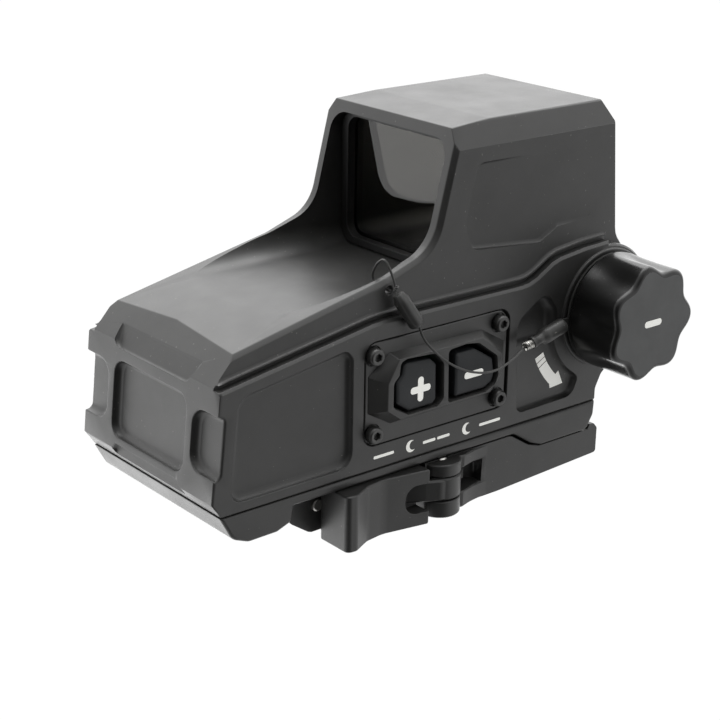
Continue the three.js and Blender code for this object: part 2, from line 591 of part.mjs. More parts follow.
// ---- electronics ----
const BOARD_SCREW = { head: 1.6, height: 1.2, shank: 0.8, length: 4.6 };

function electronics() {
  const sheet = alongZ(box2(20, -17, 68, 17, 1.5), 3.8, 5, { segments: 3 });
  // x, y, width, depth and height of each component
  const components = [[33, -6, 9, 9, 1.4], [46, 5, 7, 5, 1.6], [52, -8, 5, 5, 3.2], [31, 8, 4, 6, 2.2]]
    .map(([x, y, w, d, h]) => block(x - w / 2, x + w / 2, y - d / 2, y + d / 2, 4.8, 5 + h));
  const holes = BOARD_POSTS.map(([x, y]) => pinZ(x, y, 1.1, 0, 8, 8));
  part('main_board', cut(join(sheet, ...components), ...holes), board);
  copies('board_screw', BOARD_POSTS, ([x, y]) => capScrewZ(x, y, 5.2, BOARD_SCREW), steel);
}

// ---- rail mount ----
function railSlot(x0, x1) {
  const { top, widest, depth, reach } = RAIL;
  return alongX(outline([
    [-top, SEAT_Z], [top, SEAT_Z], [widest, SEAT_Z - depth], [top + 0.3, SEAT_Z - reach], [top + 0.3, -30],
    [-18.6, -30], [-18.6, SEAT_Z - reach], [-widest, SEAT_Z - depth],
  ]), x0, x1);
}

function mountBase() {
  const [x0, x1] = MOUNT_SPAN;
  const top = outline([
    [x0, -2.4], [77.5, -2.4, 3], [83, -5.9, 3], [86, -7.2, 2], [101.6, -7.2], [102.2, -5.8], [x1, -5.8],
    [x1, -13.2], [74, MOUNT_BOTTOM], [33, MOUNT_BOTTOM], [27.5, -12.6], [x0 + 3, -9.6], [x0, -6],
  ]);
  const slab = alongY(top, -MOUNT_HALF, MOUNT_HALF - 1.2, { bevel: [0.5, 0.5], segments: 4 });
  const underRail = railSlot(x0 - 5, x1 + 5);
  const jawPocket = block(32.5, 99.5, -18.6, 0, -20, SEAT_Z);
  const leverPocket = block(28.9, 53.2, -40, -16.6, -30, 5);
  const knuckleSlot = alongZ(outline([
    [48, -40], [69.3, -40], [69.3, -19.4], [62.6, -16.6], [48, -16.6],
  ]), -10.5 - GAP, -5.6 + 0.1);
  const pin = pinZ(PIVOT.x, PIVOT.y, PIVOT.pin + 0.05, -30, 5, 16);
  const ears = join(
    alongZ(earOutline(), -5.4, -2.6),
    alongZ(earOutline(), MOUNT_BOTTOM, -10.8),
  );
  const lugs = GUIDES.map((x) => block(x - 2.5, x + 2.5, -7.2, 7.2, SEAT_Z - 2.9, SEAT_Z + 1));
  const body = join(cut(slab, underRail, jawPocket, leverPocket), ears, ...lugs);
  const screwBores = MOUNT_SCREWS.flatMap(([x, y]) => [
    pinZ(x, y, 1.6, -30, 5, 12),
    pinZ(x, y, 2.9, -30, SEAT_Z + 3.2, 16),
  ]);
  const guides = GUIDES.map((x) => pinY(x, GUIDE_Z, 0.95, -17, 13.5, 12));
  return cut(body, knuckleSlot, pin, ...screwBores, ...guides);
}
const MOUNT_SCREW = { head: 2.6, height: 2.6, shank: 1.4, length: 2.4, up: -1 };

function earOutline() {
  const { x, y, radius } = PIVOT;
  const shape = new THREE.Shape();
  shape.moveTo(x + radius, y + EAR_REACH);
  shape.lineTo(x + radius, y);
  shape.absarc(x, y, radius, 0, -Math.PI, true);
  shape.lineTo(x - radius, y + EAR_REACH);
  shape.closePath();
  return shape;
}

const LEVER_TOP = -2.6;

function lever() {
  const { x, y, radius } = PIVOT;
  const blade = alongZ(outline([
    [29.8, -17.2, 0.8], [29.8, -26.4, 1.6], [33, -26.2, 1.5], [40, -23.6, 8], [51.4, -25.5, 1],
    [51.4, -20.6, 0.8], [44, -19.6, 4], [36, -19.4, 3], [33.6, -17.2, 1],
  ]), MOUNT_BOTTOM, LEVER_TOP);
  const notch = alongY(outline([
    [46.3, -5.4, 2.2], [54, -5.4, 2.2], [54, -11.6, 2.2], [46.3, -11.6, 2.2],
  ]), -40, -10, { segments: 4 });
  const neck = alongZ(outline([
    [44.2, -23.8], [x, y - radius + 0.6], [x, y + radius - 1.6], [44.2, -20.4],
  ]), -10.4, -5.7);
  const knuckle = pinZ(x, y, radius, -10.5, -5.6, 24);
  return cut(join(cut(blade, notch), neck, knuckle), pinZ(x, y, PIVOT.pin + 0.05, -30, 5, 16));
}

function mount() {
  part('mount_base', mountBase(), anodised);
  copies('mount_screw', MOUNT_SCREWS, ([x, y]) =>
    capScrewZ(x, y, SEAT_Z + 3.1, MOUNT_SCREW), blackSteel);
  part('qd_lever', lever(), anodised);
  part('lever_pin', pinZ(PIVOT.x, PIVOT.y, PIVOT.pin, MOUNT_BOTTOM + 0.1, -2.3, 16), steel);
  const { top, widest, depth, reach } = RAIL;
  const jaw = alongX(outline([
    [-11.1, SEAT_Z - GAP], [JAW_BACK, SEAT_Z - GAP], [JAW_BACK, MOUNT_BOTTOM + 0.2],
    [-top - 0.8, MOUNT_BOTTOM + 0.2], [-top - 0.3, SEAT_Z - reach], [-widest, SEAT_Z - depth],
  ]), 33.2, 98.8);
  const bores = GUIDES.map((x) => pinY(x, GUIDE_Z, 0.95, -20, 0, 12));
  part('clamp_jaw', cut(jaw, ...bores), anodised);
  copies('jaw_guide', GUIDES, (x) => pinY(x, GUIDE_Z, 0.7, JAW_BACK + 0.4, 13, 12), steel);
}

// ---- assembly ----
const COVER_SCREW = { head: 2.1, height: 2.2, shank: 1.2, length: 7.6, up: -1 };
part('upper_housing', upperHousing(), anodised);
part('bottom_cover', bottomCover(), anodised);
copies('cover_screw', COVER_SCREWS, ([x, y]) => capScrewZ(x, y, -4.25, COVER_SCREW), blackSteel);
part('housing_gasket', frame(5.9, 87.1, CAVITY_HALF - 0.3, 0.3, 1.3, 1), rubber);
keypad();
battery();
lanyard();
optics();
emitter();
electronics();
mount();

export default sight;
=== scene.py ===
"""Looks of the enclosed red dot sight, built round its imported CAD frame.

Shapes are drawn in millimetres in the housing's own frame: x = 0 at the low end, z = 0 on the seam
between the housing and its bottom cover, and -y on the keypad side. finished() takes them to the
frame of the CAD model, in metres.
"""

import json
import math

import bmesh
import bpy
from mathutils import Matrix, Vector, bvhtree, kdtree


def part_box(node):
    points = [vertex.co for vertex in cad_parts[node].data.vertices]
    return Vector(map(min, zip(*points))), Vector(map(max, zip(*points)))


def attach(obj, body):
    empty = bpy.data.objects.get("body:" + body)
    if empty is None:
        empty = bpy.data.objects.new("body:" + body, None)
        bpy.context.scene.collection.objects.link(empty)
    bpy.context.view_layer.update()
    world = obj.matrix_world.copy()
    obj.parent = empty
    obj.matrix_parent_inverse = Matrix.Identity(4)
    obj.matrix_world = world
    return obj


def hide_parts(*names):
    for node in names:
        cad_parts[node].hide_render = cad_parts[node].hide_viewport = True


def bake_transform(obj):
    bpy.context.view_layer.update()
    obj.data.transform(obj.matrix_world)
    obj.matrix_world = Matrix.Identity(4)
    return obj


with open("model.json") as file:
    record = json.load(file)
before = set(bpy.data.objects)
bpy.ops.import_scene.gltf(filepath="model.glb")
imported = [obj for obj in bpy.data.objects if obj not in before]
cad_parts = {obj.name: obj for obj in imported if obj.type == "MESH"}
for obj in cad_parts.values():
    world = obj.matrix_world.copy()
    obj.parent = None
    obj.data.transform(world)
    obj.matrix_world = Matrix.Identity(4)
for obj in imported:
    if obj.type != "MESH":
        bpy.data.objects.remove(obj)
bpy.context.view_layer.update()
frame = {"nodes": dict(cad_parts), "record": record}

MM = 0.001
HOUSING_LOW, HOUSING_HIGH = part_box("upper_housing")
ORIGIN = Vector((HOUSING_LOW.x, 0, HOUSING_LOW.z))

# ---- driving sizes, in mm ----
BODY_HALF = HOUSING_HIGH.y / MM  # half width of the lower body
UPPER_HALF = 20.8
INNER_HALF = 18.1
CAVITY_HALF = 20.2
END_LEAN = 2.3
DECK_START = (7.2, 30.75)
DECK_SLOPE = 0.2136
CROWN = 0.9
DISH_FLOOR = 34.0
TUNNEL_TOP = 63.2
WINDOW_X = 64.9
LENS_X = 102.2
TUBE = (103.6, 21.6)  # centre of the battery tube in x and z
TUBE_RADIUS = 14.0
SEAT_Z = -8.0
MOUNT_BOTTOM = -14.5
PIVOT = (58.0, -21.5)
PIVOT_RADIUS = 4.5
EDGE_BREAK = 0.22  # radius of a broken edge


# ---- mesh tools ----
def turn_side(points):
    """1 for an outline that runs anticlockwise, -1 for one that runs clockwise."""
    area = sum(a[0] * b[1] - b[0] * a[1] for a, b in zip(points, points[1:] + points[:1]))
    return 1 if area > 0 else -1


def ring(corners, inset=0.0, steps=6):
    """Points of an outline whose corners (a, b, radius) are rounded, moved inwards by inset."""
    flat = [Vector(c[:2]) for c in corners]
    side = turn_side([tuple(p) for p in flat])
    count = len(flat)
    normals = []
    for i in range(count):
        along = (flat[(i + 1) % count] - flat[i]).normalized()
        normals.append(Vector((-along.y, along.x)) * side)
    moved = []
    for i in range(count):
        before, after = normals[i - 1], normals[i]
        moved.append(flat[i] + (before + after) * inset / max(0.2, 1 + before.dot(after)))
    points = []
    for i in range(count):
        radius = corners[i][2] if len(corners[i]) > 2 else 0
        if not radius:
            points.append(moved[i])
            continue
        back = moved[i - 1] - moved[i]
        ahead = moved[(i + 1) % count] - moved[i]
        bend = math.pi - back.angle(ahead)
        convex = (normals[i - 1].x * normals[i].y - normals[i - 1].y * normals[i].x) * side > 0
        radius = max(0.05, radius - inset if convex else radius + inset)
        reach = min(radius * math.tan(bend / 2), 0.47 * min(back.length, ahead.length))
        start = moved[i] + back.normalized() * reach
        end = moved[i] + ahead.normalized() * reach
        radius = reach / math.tan(bend / 2)
        inward = (back.normalized() + ahead.normalized()).normalized()
        centre = moved[i] + inward * math.hypot(reach, radius)
        first, last = start - centre, end - centre
        sweep = first.angle_signed(last)
        for k in range(steps + 1):
            points.append(centre + Matrix.Rotation(-sweep * k / steps, 2) @ first)
    return points


def box(a0, b0, a1, b1, radius=0.0):
    return [(a0, b0, radius), (a1, b0, radius), (a1, b1, radius), (a0, b1, radius)]


def disc(a, b, radius, steps=48):
    return [(a + radius * math.cos(2 * math.pi * k / steps), b + radius * math.sin(2 * math.pi * k / steps))
            for k in range(steps)]


AXES = {
    "x": lambda a, b, h: Vector((h, a, b)),
    "y": lambda a, b, h: Vector((a, h, b)),
    "z": lambda a, b, h: Vector((a, b, h)),
}


def solid(name, build):
    """A new object whose mesh build(bm) makes, with its faces turned outwards."""
    bm = bmesh.new()
    build(bm)
    bmesh.ops.recalc_face_normals(bm, faces=bm.faces)
    mesh = bpy.data.meshes.new(name)
    bm.to_mesh(mesh)
    bm.free()
    obj = bpy.data.objects.new(name, mesh)
    bpy.context.scene.collection.objects.link(obj)
    return obj


def loft(rings, name="solid"):
    """A closed skin through rings that have the same number of points."""
    def build(bm):
        rows = [[bm.verts.new(p) for p in points] for points in rings]
        for low, high in zip(rows, rows[1:]):
            for i in range(len(low)):
                bm.faces.new((low[i - 1], low[i], high[i], high[i - 1]))
        bm.faces.new(rows[0])
        bm.faces.new(rows[-1][::-1])
    return solid(name, build)


def stack(corners, axis, levels, steps=6, name="solid"):
    """An outline drawn at several heights along an axis; each level is (height, inset)."""
    place = AXES[axis]
    return loft([[place(*p, h) for p in ring(corners, inset, steps)] for h, inset in levels], name)


def plain(low, high):
    return [(low, 0.0), (high, 0.0)]


def sunk(surface, depth, wall, steps=5, outside=1.5):
    """Levels of a cutter for a pocket: crisp mouth at surface, walls that round into the floor."""
    sign = 1 if depth > 0 else -1
    arc = [(surface + depth * math.sin(t), wall * (1 - math.cos(t)))
           for t in (math.pi / 2 * k / steps for k in range(steps + 1))]
    return [(surface - sign * outside, -0.02)] + arc


def lathe(profile, axis, centre, steps=48, name="solid"):
    """A solid turned about an axis; profile is (radius, height) from the axis back to the axis."""
    place = AXES[axis]

    def build(bm):
        rows = []
        for radius, height in profile:
            if radius < 1e-6:
                rows.append([bm.verts.new(place(*centre, height))])
                continue
            rows.append([bm.verts.new(place(centre[0] + radius * math.cos(2 * math.pi * k / steps),
                                            centre[1] + radius * math.sin(2 * math.pi * k / steps), height))
                         for k in range(steps)])
        for low, high in zip(rows, rows[1:]):
            for k in range(steps):
                points = [low[k - 1 if len(low) > 1 else 0], low[k if len(low) > 1 else 0],
                          high[k if len(high) > 1 else 0], high[k - 1 if len(high) > 1 else 0]]
                corners = list(dict.fromkeys(points))
                if len(corners) > 2:
                    bm.faces.new(corners)
    return solid(name, build)


def pin(axis, a, b, radius, low, high, steps=32):
    return stack(disc(a, b, radius, steps), axis, plain(low, high))


def slab(x0, x1, y0, y1, z0, z1):
    return stack(box(x0, y0, x1, y1), "z", plain(z0, z1))


def sweep(path, section, name="solid"):
    """A section of (y, dz) points carried along a path of (x, z) points."""
    return loft([[Vector((x, y, z + dz)) for y, dz in section] for x, z in path], name)


def smooth_path(points, per_span=8):
    """Points on a Catmull-Rom curve through the given points."""
    knots = [Vector(p) for p in points]
    knots = [2 * knots[0] - knots[1], *knots, 2 * knots[-1] - knots[-2]]
    path = []
    for i in range(1, len(knots) - 2):
        a, b, c, d = knots[i - 1:i + 3]
        for k in range(per_span):
            t = k / per_span
            path.append(0.5 * (2 * b + (c - a) * t + (2 * a - 5 * b + 4 * c - d) * t ** 2
                               + (3 * b - a - 3 * c + d) * t ** 3))
    path.append(knots[-2])
    return path


def hose(path, radius, sides=10, name="solid"):
    """A round tube along a path; radius is a number, or a function of the share of the way along."""
    reach = radius if callable(radius) else lambda share: radius
    forward = (path[1] - path[0]).normalized()
    across = forward.orthogonal().normalized()
    rings = []
    for i, point in enumerate(path):
        ahead = (path[min(i + 1, len(path) - 1)] - path[max(i - 1, 0)]).normalized()
        across = (ahead_turn(forward, ahead) @ across).normalized()
        forward = ahead
        side = forward.cross(across)
        r = reach(i / (len(path) - 1))
        rings.append([point + r * (math.cos(t) * across + math.sin(t) * side)
                      for t in (2 * math.pi * k / sides for k in range(sides))])
    return loft(rings, name)


def ahead_turn(before, after):
    return before.rotation_difference(after).to_matrix()


def mirrored(obj):
    copy = obj.copy()
    copy.data = obj.data.copy()
    copy.data.transform(Matrix.Scale(-1, 4, (0, 1, 0)))
    copy.data.flip_normals()
    bpy.context.scene.collection.objects.link(copy)
    return copy


def both(obj):
    return [obj, mirrored(obj)]


def combine(target, tools, operation):
    """Joins tools to target, or cuts them from it."""
    for tool in tools:
        step = target.modifiers.new("step", "BOOLEAN")
        step.operation = operation
        step.solver = "MANIFOLD"
        step.object = tool
    bpy.context.view_layer.update()
    graph = bpy.context.evaluated_depsgraph_get()
    made = bpy.data.meshes.new_from_object(target.evaluated_get(graph), depsgraph=graph)
    target.modifiers.clear()
    target.data = made
    for tool in tools:
        bpy.data.objects.remove(tool)
    return target


def cut(target, *tools):
    return combine(target, tools, "DIFFERENCE")


def fuse(target, *tools):
    return combine(target, tools, "UNION")


def common(target, *tools):
    return combine(target, tools, "INTERSECT")


def finished(obj, edge=EDGE_BREAK, sharp=32, segments=2, broad=None, broad_edge=0.0):
    """Cleans a cut mesh, breaks its edges, wider where broad says, and takes it to the row frame."""
    bm = bmesh.new()
    bm.from_mesh(obj.data)
    bmesh.ops.remove_doubles(bm, verts=bm.verts, dist=0.012)
    bmesh.ops.dissolve_limit(bm, angle_limit=math.radians(0.6), verts=bm.verts, edges=bm.edges)
    bmesh.ops.dissolve_degenerate(bm, edges=bm.edges, dist=0.01)
    for face in bm.faces:
        face.smooth = True
    chains = edge_chains(bm, math.radians(sharp))
    bm.to_mesh(obj.data)
    bm.free()
    obj.data.materials.clear()
    if edge:
        widths = [broad_edge if broad and broad(run) else edge for run in chains]
        bevel = break_edges(obj, widths, segments, chains)
        bevel.width *= MM
        obj.modifiers.new("faces", "TRIANGULATE").min_vertices = 5
        even = obj.modifiers.new("normals", "WEIGHTED_NORMAL")
        even.weight = 100
        even.keep_sharp = True
    else:
        obj.data.set_sharp_from_angle(angle=math.radians(sharp))
    obj.data.transform(Matrix.Translation(ORIGIN) @ Matrix.Scale(MM, 4))
    return obj


def edge_chains(bm, angle):
    """The sharp edges of a mesh, as unbroken runs from corner to corner."""
    bm.edges.index_update()
    sharp = {e for e in bm.edges if len(e.link_faces) == 2 and e.calc_face_angle(0) > angle}
    chains = []
    while sharp:
        run, ends = [], [sharp.pop()]
        while ends:
            e = ends.pop()
            run.append((e.index, e.verts[0].co.copy(), e.verts[1].co.copy()))
            for v in e.verts:
                others = [x for x in v.link_edges
                          if x is not e and len(x.link_faces) == 2 and x.calc_face_angle(0) > angle]
                if len(others) == 1 and others[0] in sharp:
                    sharp.remove(others[0])
                    ends.append(others[0])
        chains.append(run)
    return chains


def break_edges(obj, widths, segments, chains):
    """Bevels each sharp run by its width, or by less where it has less room."""
    width = max(widths, default=EDGE_BREAK)
    mesh = obj.data
    weights = mesh.attributes.new("bevel_weight_edge", "FLOAT", "EDGE")
    bevel = obj.modifiers.new("edge", "BEVEL")
    bevel.width = width
    bevel.segments = segments
    bevel.limit_method = "WEIGHT"
    bevel.use_clamp_overlap = False
    bevel.miter_outer = "MITER_ARC"
    share = [own / width for own in widths]
    least_share = [0.25 * start for start in share]
    tree = kdtree.KDTree(sum(3 * len(run) for run in chains))
    for k, run in enumerate(chains):
        for _, a, b in run:
            for point in (a, (a + b) / 2, b):
                tree.insert(point, k)
    tree.balance()
    length = [sum((a - b).length for _, a, b in run) for run in chains]
    for attempt in range(12):
        for k, run in enumerate(chains):
            for index, _, _ in run:
                weights.data[index].value = share[k]
        spots = tangles(obj)
        if not spots:
            break
        tight = set()
        for spot in spots:
            near = {k for _, k, _ in tree.find_range(spot, width * 2.5) if share[k]}
            near = near or {k for _, k, _ in tree.find_n(spot, 3) if share[k]}
            least = min((length[k] for k in near), default=0)
            tight |= {k for k in near if attempt > 4 or length[k] <= 2 * least}
        for k in tight:
            share[k] = share[k] * 0.6 if share[k] > least_share[k] else 0.0
    for k, run in enumerate(chains):
        if not share[k]:
            for index, _, _ in run:
                mesh.edges[index].use_edge_sharp = True
    return bevel


def tangles(obj):
    """The places where a bevelled piece has a face that crosses itself or is turned over."""
    bpy.context.view_layer.update()
    graph = bpy.context.evaluated_depsgraph_get()
    shown = obj.evaluated_get(graph)
    made = shown.to_mesh()
    points = [v.co.copy() for v in made.vertices]
    surface = bvhtree.BVHTree.FromPolygons([v.co for v in obj.data.vertices],
                                           [p.vertices for p in obj.data.polygons])
    spots = []
    for face in made.polygons:
        loop = [points[i] for i in face.vertices]
        if face.area > 1e-4 and len(loop) < 5:
            _, normal, _, _ = surface.find_nearest(face.center)
            if normal and face.normal.dot(normal) < -0.1:
                spots.append(face.center.copy())
        if len(loop) > 3:
            across = face.normal.orthogonal()
            up = face.normal.cross(across)
            spots += crossings(loop, [(p.dot(across), p.dot(up)) for p in loop])
    shown.to_mesh_clear()
    return spots


def crossings(loop, flat):
    count, found = len(flat), []
    for i in range(count - 2):
        (ax, ay), (bx, by) = flat[i], flat[i + 1]
        left, right, low, high = min(ax, bx), max(ax, bx), min(ay, by), max(ay, by)
        for j in range(i + 2, count - (i == 0)):
            (cx, cy), (dx, dy) = flat[j], flat[(j + 1) % count]
            if max(cx, dx) < left or min(cx, dx) > right or max(cy, dy) < low or min(cy, dy) > high:
                continue
            ex, ey, gx, gy = bx - ax, by - ay, dx - cx, dy - cy
            turn = ex * gy - ey * gx
            if abs(turn) < 1e-9:
                continue
            t = ((cx - ax) * gy - (cy - ay) * gx) / turn
            s = ((cx - ax) * ey - (cy - ay) * ex) / turn
            slack_t, slack_s = 0.003 / (math.hypot(ex, ey) + 1e-9), 0.003 / (math.hypot(gx, gy) + 1e-9)
            if slack_t < t < 1 - slack_t and slack_s < s < 1 - slack_s:
                found.append(loop[i] + (loop[i + 1] - loop[i]) * t)
    return found


def place(obj, name, material, body, slot, *nodes):
    """Names a piece, gives it its material and body, and hides the CAD nodes it stands for."""
    obj.name = name
    obj.data.name = name
    if obj.type == "MESH":
        obj.data.materials.clear()
    obj.data.materials.append(material)
    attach(obj, body)
    if nodes:
        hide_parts(*nodes)
    return obj


# ---- materials ----
def material(name, color, roughness, metallic=0.0, ior=1.5, grain=0.0, grain_size=0.2, mottle=0.0,
             smear=0.0, dust=0.0, wear=0.0, painted_glow=0.0):
    """A finish with fine grain, cloudy colour, uneven gloss, dust specks and an optional painted glow; sizes
    are in mm.
    """
    made = bpy.data.materials.new(name)
    made.use_nodes = True
    made.diffuse_color = (*color, 1)
    nodes, links = made.node_tree.nodes, made.node_tree.links
    shader = nodes["Principled BSDF"]
    shader.inputs["Metallic"].default_value = metallic
    shader.inputs["IOR"].default_value = ior
    shader.inputs["Base Color"].default_value = (*color, 1)
    shader.inputs["Roughness"].default_value = roughness
    # Painted light: a glow above 0 makes the finish shine in its own colour, though it is no lamp.
    shader.inputs["Emission Color"].default_value = (*color, 1)
    shader.inputs["Emission Strength"].default_value = painted_glow
    where = nodes.new("ShaderNodeTexCoord").outputs["Object"]

    def noise(size_mm, detail=2.0, rough=0.5):
        node = nodes.new("ShaderNodeTexNoise")
        node.inputs["Scale"].default_value = 1 / (size_mm * MM)
        node.inputs["Detail"].default_value = detail
        node.inputs["Roughness"].default_value = rough
        links.new(where, node.inputs["Vector"])
        return node.outputs["Fac"]

    def spread(value, low, high, to_low, to_high):
        node = nodes.new("ShaderNodeMapRange")
        for key, number in (("From Min", low), ("From Max", high), ("To Min", to_low), ("To Max", to_high)):
            node.inputs[key].default_value = number
        links.new(value, node.inputs["Value"])
        return node.outputs["Result"]

    def mixed(share, low, high):
        node = nodes.new("ShaderNodeMix")
        node.data_type = "RGBA"
        for key, value in (("A", low), ("B", high)):
            socket = next(s for s in node.inputs if s.name == key and s.type == "RGBA")
            if isinstance(value, tuple):
                socket.default_value = (*value, 1)
            else:
                links.new(value, socket)
        links.new(share, node.inputs["Factor"])
        return next(s for s in node.outputs if s.type == "RGBA")

    tint = None
    if mottle:
        light = tuple(min(1, c * (1 + mottle)) for c in color)
        dark = tuple(c * (1 - mottle) for c in color)
        tint = mixed(spread(noise(6, 4, 0.6), 0.35, 0.65, 0, 1), dark, light)
    if wear:
        pale = tuple(min(1, c + wear) for c in color)
        tint = mixed(spread(noise(0.9, 3), 0.66, 0.74, 0, 0.6), tint or color, pale)
    if dust:
        tint = mixed(spread(noise(0.5, 0), 0.83, 0.86, 0, dust), tint or color, (0.45, 0.44, 0.40))
    if tint:
        links.new(tint, shader.inputs["Base Color"])
    if smear:
        gloss = spread(noise(9, 3), 0.3, 0.7, roughness - smear, roughness + smear)
        links.new(gloss, shader.inputs["Roughness"])
    if grain:
        bump = nodes.new("ShaderNodeBump")
        bump.inputs["Strength"].default_value = 1.0
        bump.inputs["Distance"].default_value = grain * MM
        links.new(noise(grain_size, 3, 0.6), bump.inputs["Height"])
        links.new(bump.outputs["Normal"], shader.inputs["Normal"])
    return made


def warm(level, cast=0.03):
    """A near-neutral grey with a slight olive cast."""
    return (level * (1 + cast * 0.3), level * (1 + cast * 0.3), level * (1 - cast))


ANODISED = material("bead_blasted_anodising", warm(0.022), 0.42, ior=1.55, grain=0.012, grain_size=0.16,
                    mottle=0.12, smear=0.04, dust=0.18, wear=0.006)
ANODISED_GLOSS = material("glossy_anodising", warm(0.006), 0.3, ior=1.5, grain=0.002, grain_size=0.3,
                          smear=0.04, dust=0.1)
ANODISED_FACE = material("satin_anodising", (0.066, 0.068, 0.068), 0.5, ior=1.5, grain=0.006, grain_size=0.14,
                         mottle=0.1, smear=0.04)
BLACK_STEEL = material("blackened_steel", warm(0.03), 0.34, metallic=0.4, ior=1.8, grain=0.006,
                       grain_size=0.12, mottle=0.2, smear=0.06)
BRIGHT_STEEL = material("bright_steel", (0.62, 0.61, 0.58), 0.28, metallic=1.0, grain=0.004, grain_size=0.2,
                        mottle=0.1, smear=0.08)
BUTTON_RUBBER = material("button_rubber", (0.012, 0.014, 0.016), 0.6, ior=1.45, grain=0.01, grain_size=0.22,
                         mottle=0.1, smear=0.05, dust=0.2)
SEAL_RUBBER = material("seal_rubber", (0.004, 0.004, 0.004), 0.5, grain=0.01, grain_size=0.2, mottle=0.1)
HEAT_SHRINK = material("heat_shrink", warm(0.03), 0.45, grain=0.03, grain_size=0.9, mottle=0.2, smear=0.1,
                       dust=0.3)
COATED_WIRE = material("coated_wire", warm(0.04), 0.4, grain=0.01, grain_size=0.3, mottle=0.2, smear=0.08)
# The white paint carries painted light: a slight glow makes the marks brighter than the lamps alone light
# them.
GLOWING_WHITE_PAINT = material("white_paint", (0.86, 0.86, 0.82), 0.6, grain=0.006, grain_size=0.15, mottle=0.04,
                       painted_glow=0.25)
POLYMER = material("black_polymer", (0.015, 0.015, 0.016), 0.55, grain=0.008, grain_size=0.25, mottle=0.1,
                   smear=0.05)
BOARD = material("circuit_board", (0.02, 0.12, 0.05), 0.35, grain=0.02, grain_size=0.8, mottle=0.35,
                 smear=0.1)
BRASS = material("contact_brass", (0.60, 0.43, 0.18), 0.3, metallic=1.0, grain=0.004, grain_size=0.2,
                 mottle=0.12, smear=0.08)
CELL_WRAP = material("cell_wrap", (0.06, 0.11, 0.17), 0.3, grain=0.004, grain_size=0.5, mottle=0.08,
                     smear=0.05)


def coated_glass():
    """Clear glass with a dark coating, whose gloss comes from its index."""
    made = material("coated_glass", (0.62, 0.6, 0.56), 0.02, ior=1.47, smear=0.006)
    made.node_tree.nodes["Principled BSDF"].inputs["Transmission Weight"].default_value = 1.0
    return made


GLASS = coated_glass()

NODE_FINISH = {
    "anodised_housing": ANODISED, "anodised_mount": ANODISED, "anodised_cap": ANODISED_GLOSS,
    "black_screws": BLACK_STEEL, "coated_wire": COATED_WIRE, "heat_shrink": HEAT_SHRINK,
    "bright_steel": BRIGHT_STEEL, "button_rubber": BUTTON_RUBBER, "seal_rubber": SEAL_RUBBER,
    "coated_glass": GLASS, "black_polymer": POLYMER, "circuit_board": BOARD, "contact_brass": BRASS,
    "cell_wrap": CELL_WRAP,
}


# ---- camera, light and floor ----
def look():
    """The camera: its place, and the direction and roll of its view."""
    azimuth, elevation, roll = math.radians(-39.53), math.radians(20.22), math.radians(0.9)
    back = Vector((math.sin(azimuth) * math.cos(elevation), -math.cos(azimuth) * math.cos(elevation),
                   math.sin(elevation)))
    right = (-back).cross(Vector((0, 0, 1))).normalized()
    up = back.cross(right)
    rolled = Matrix.Rotation(roll, 3, back)
    axes = Matrix((rolled @ right, rolled @ up, back)).transposed()
    data = bpy.data.cameras.new("camera")
    data.lens = 84.115
    data.sensor_width = 36
    data.clip_start = 0.01
    camera = bpy.data.objects.new("camera", data)
    camera.matrix_world = Matrix.Translation((-0.221115, -0.257536, 0.144401)) @ axes.to_4x4()
    bpy.context.scene.collection.objects.link(camera)
    bpy.context.scene.camera = camera
    return back


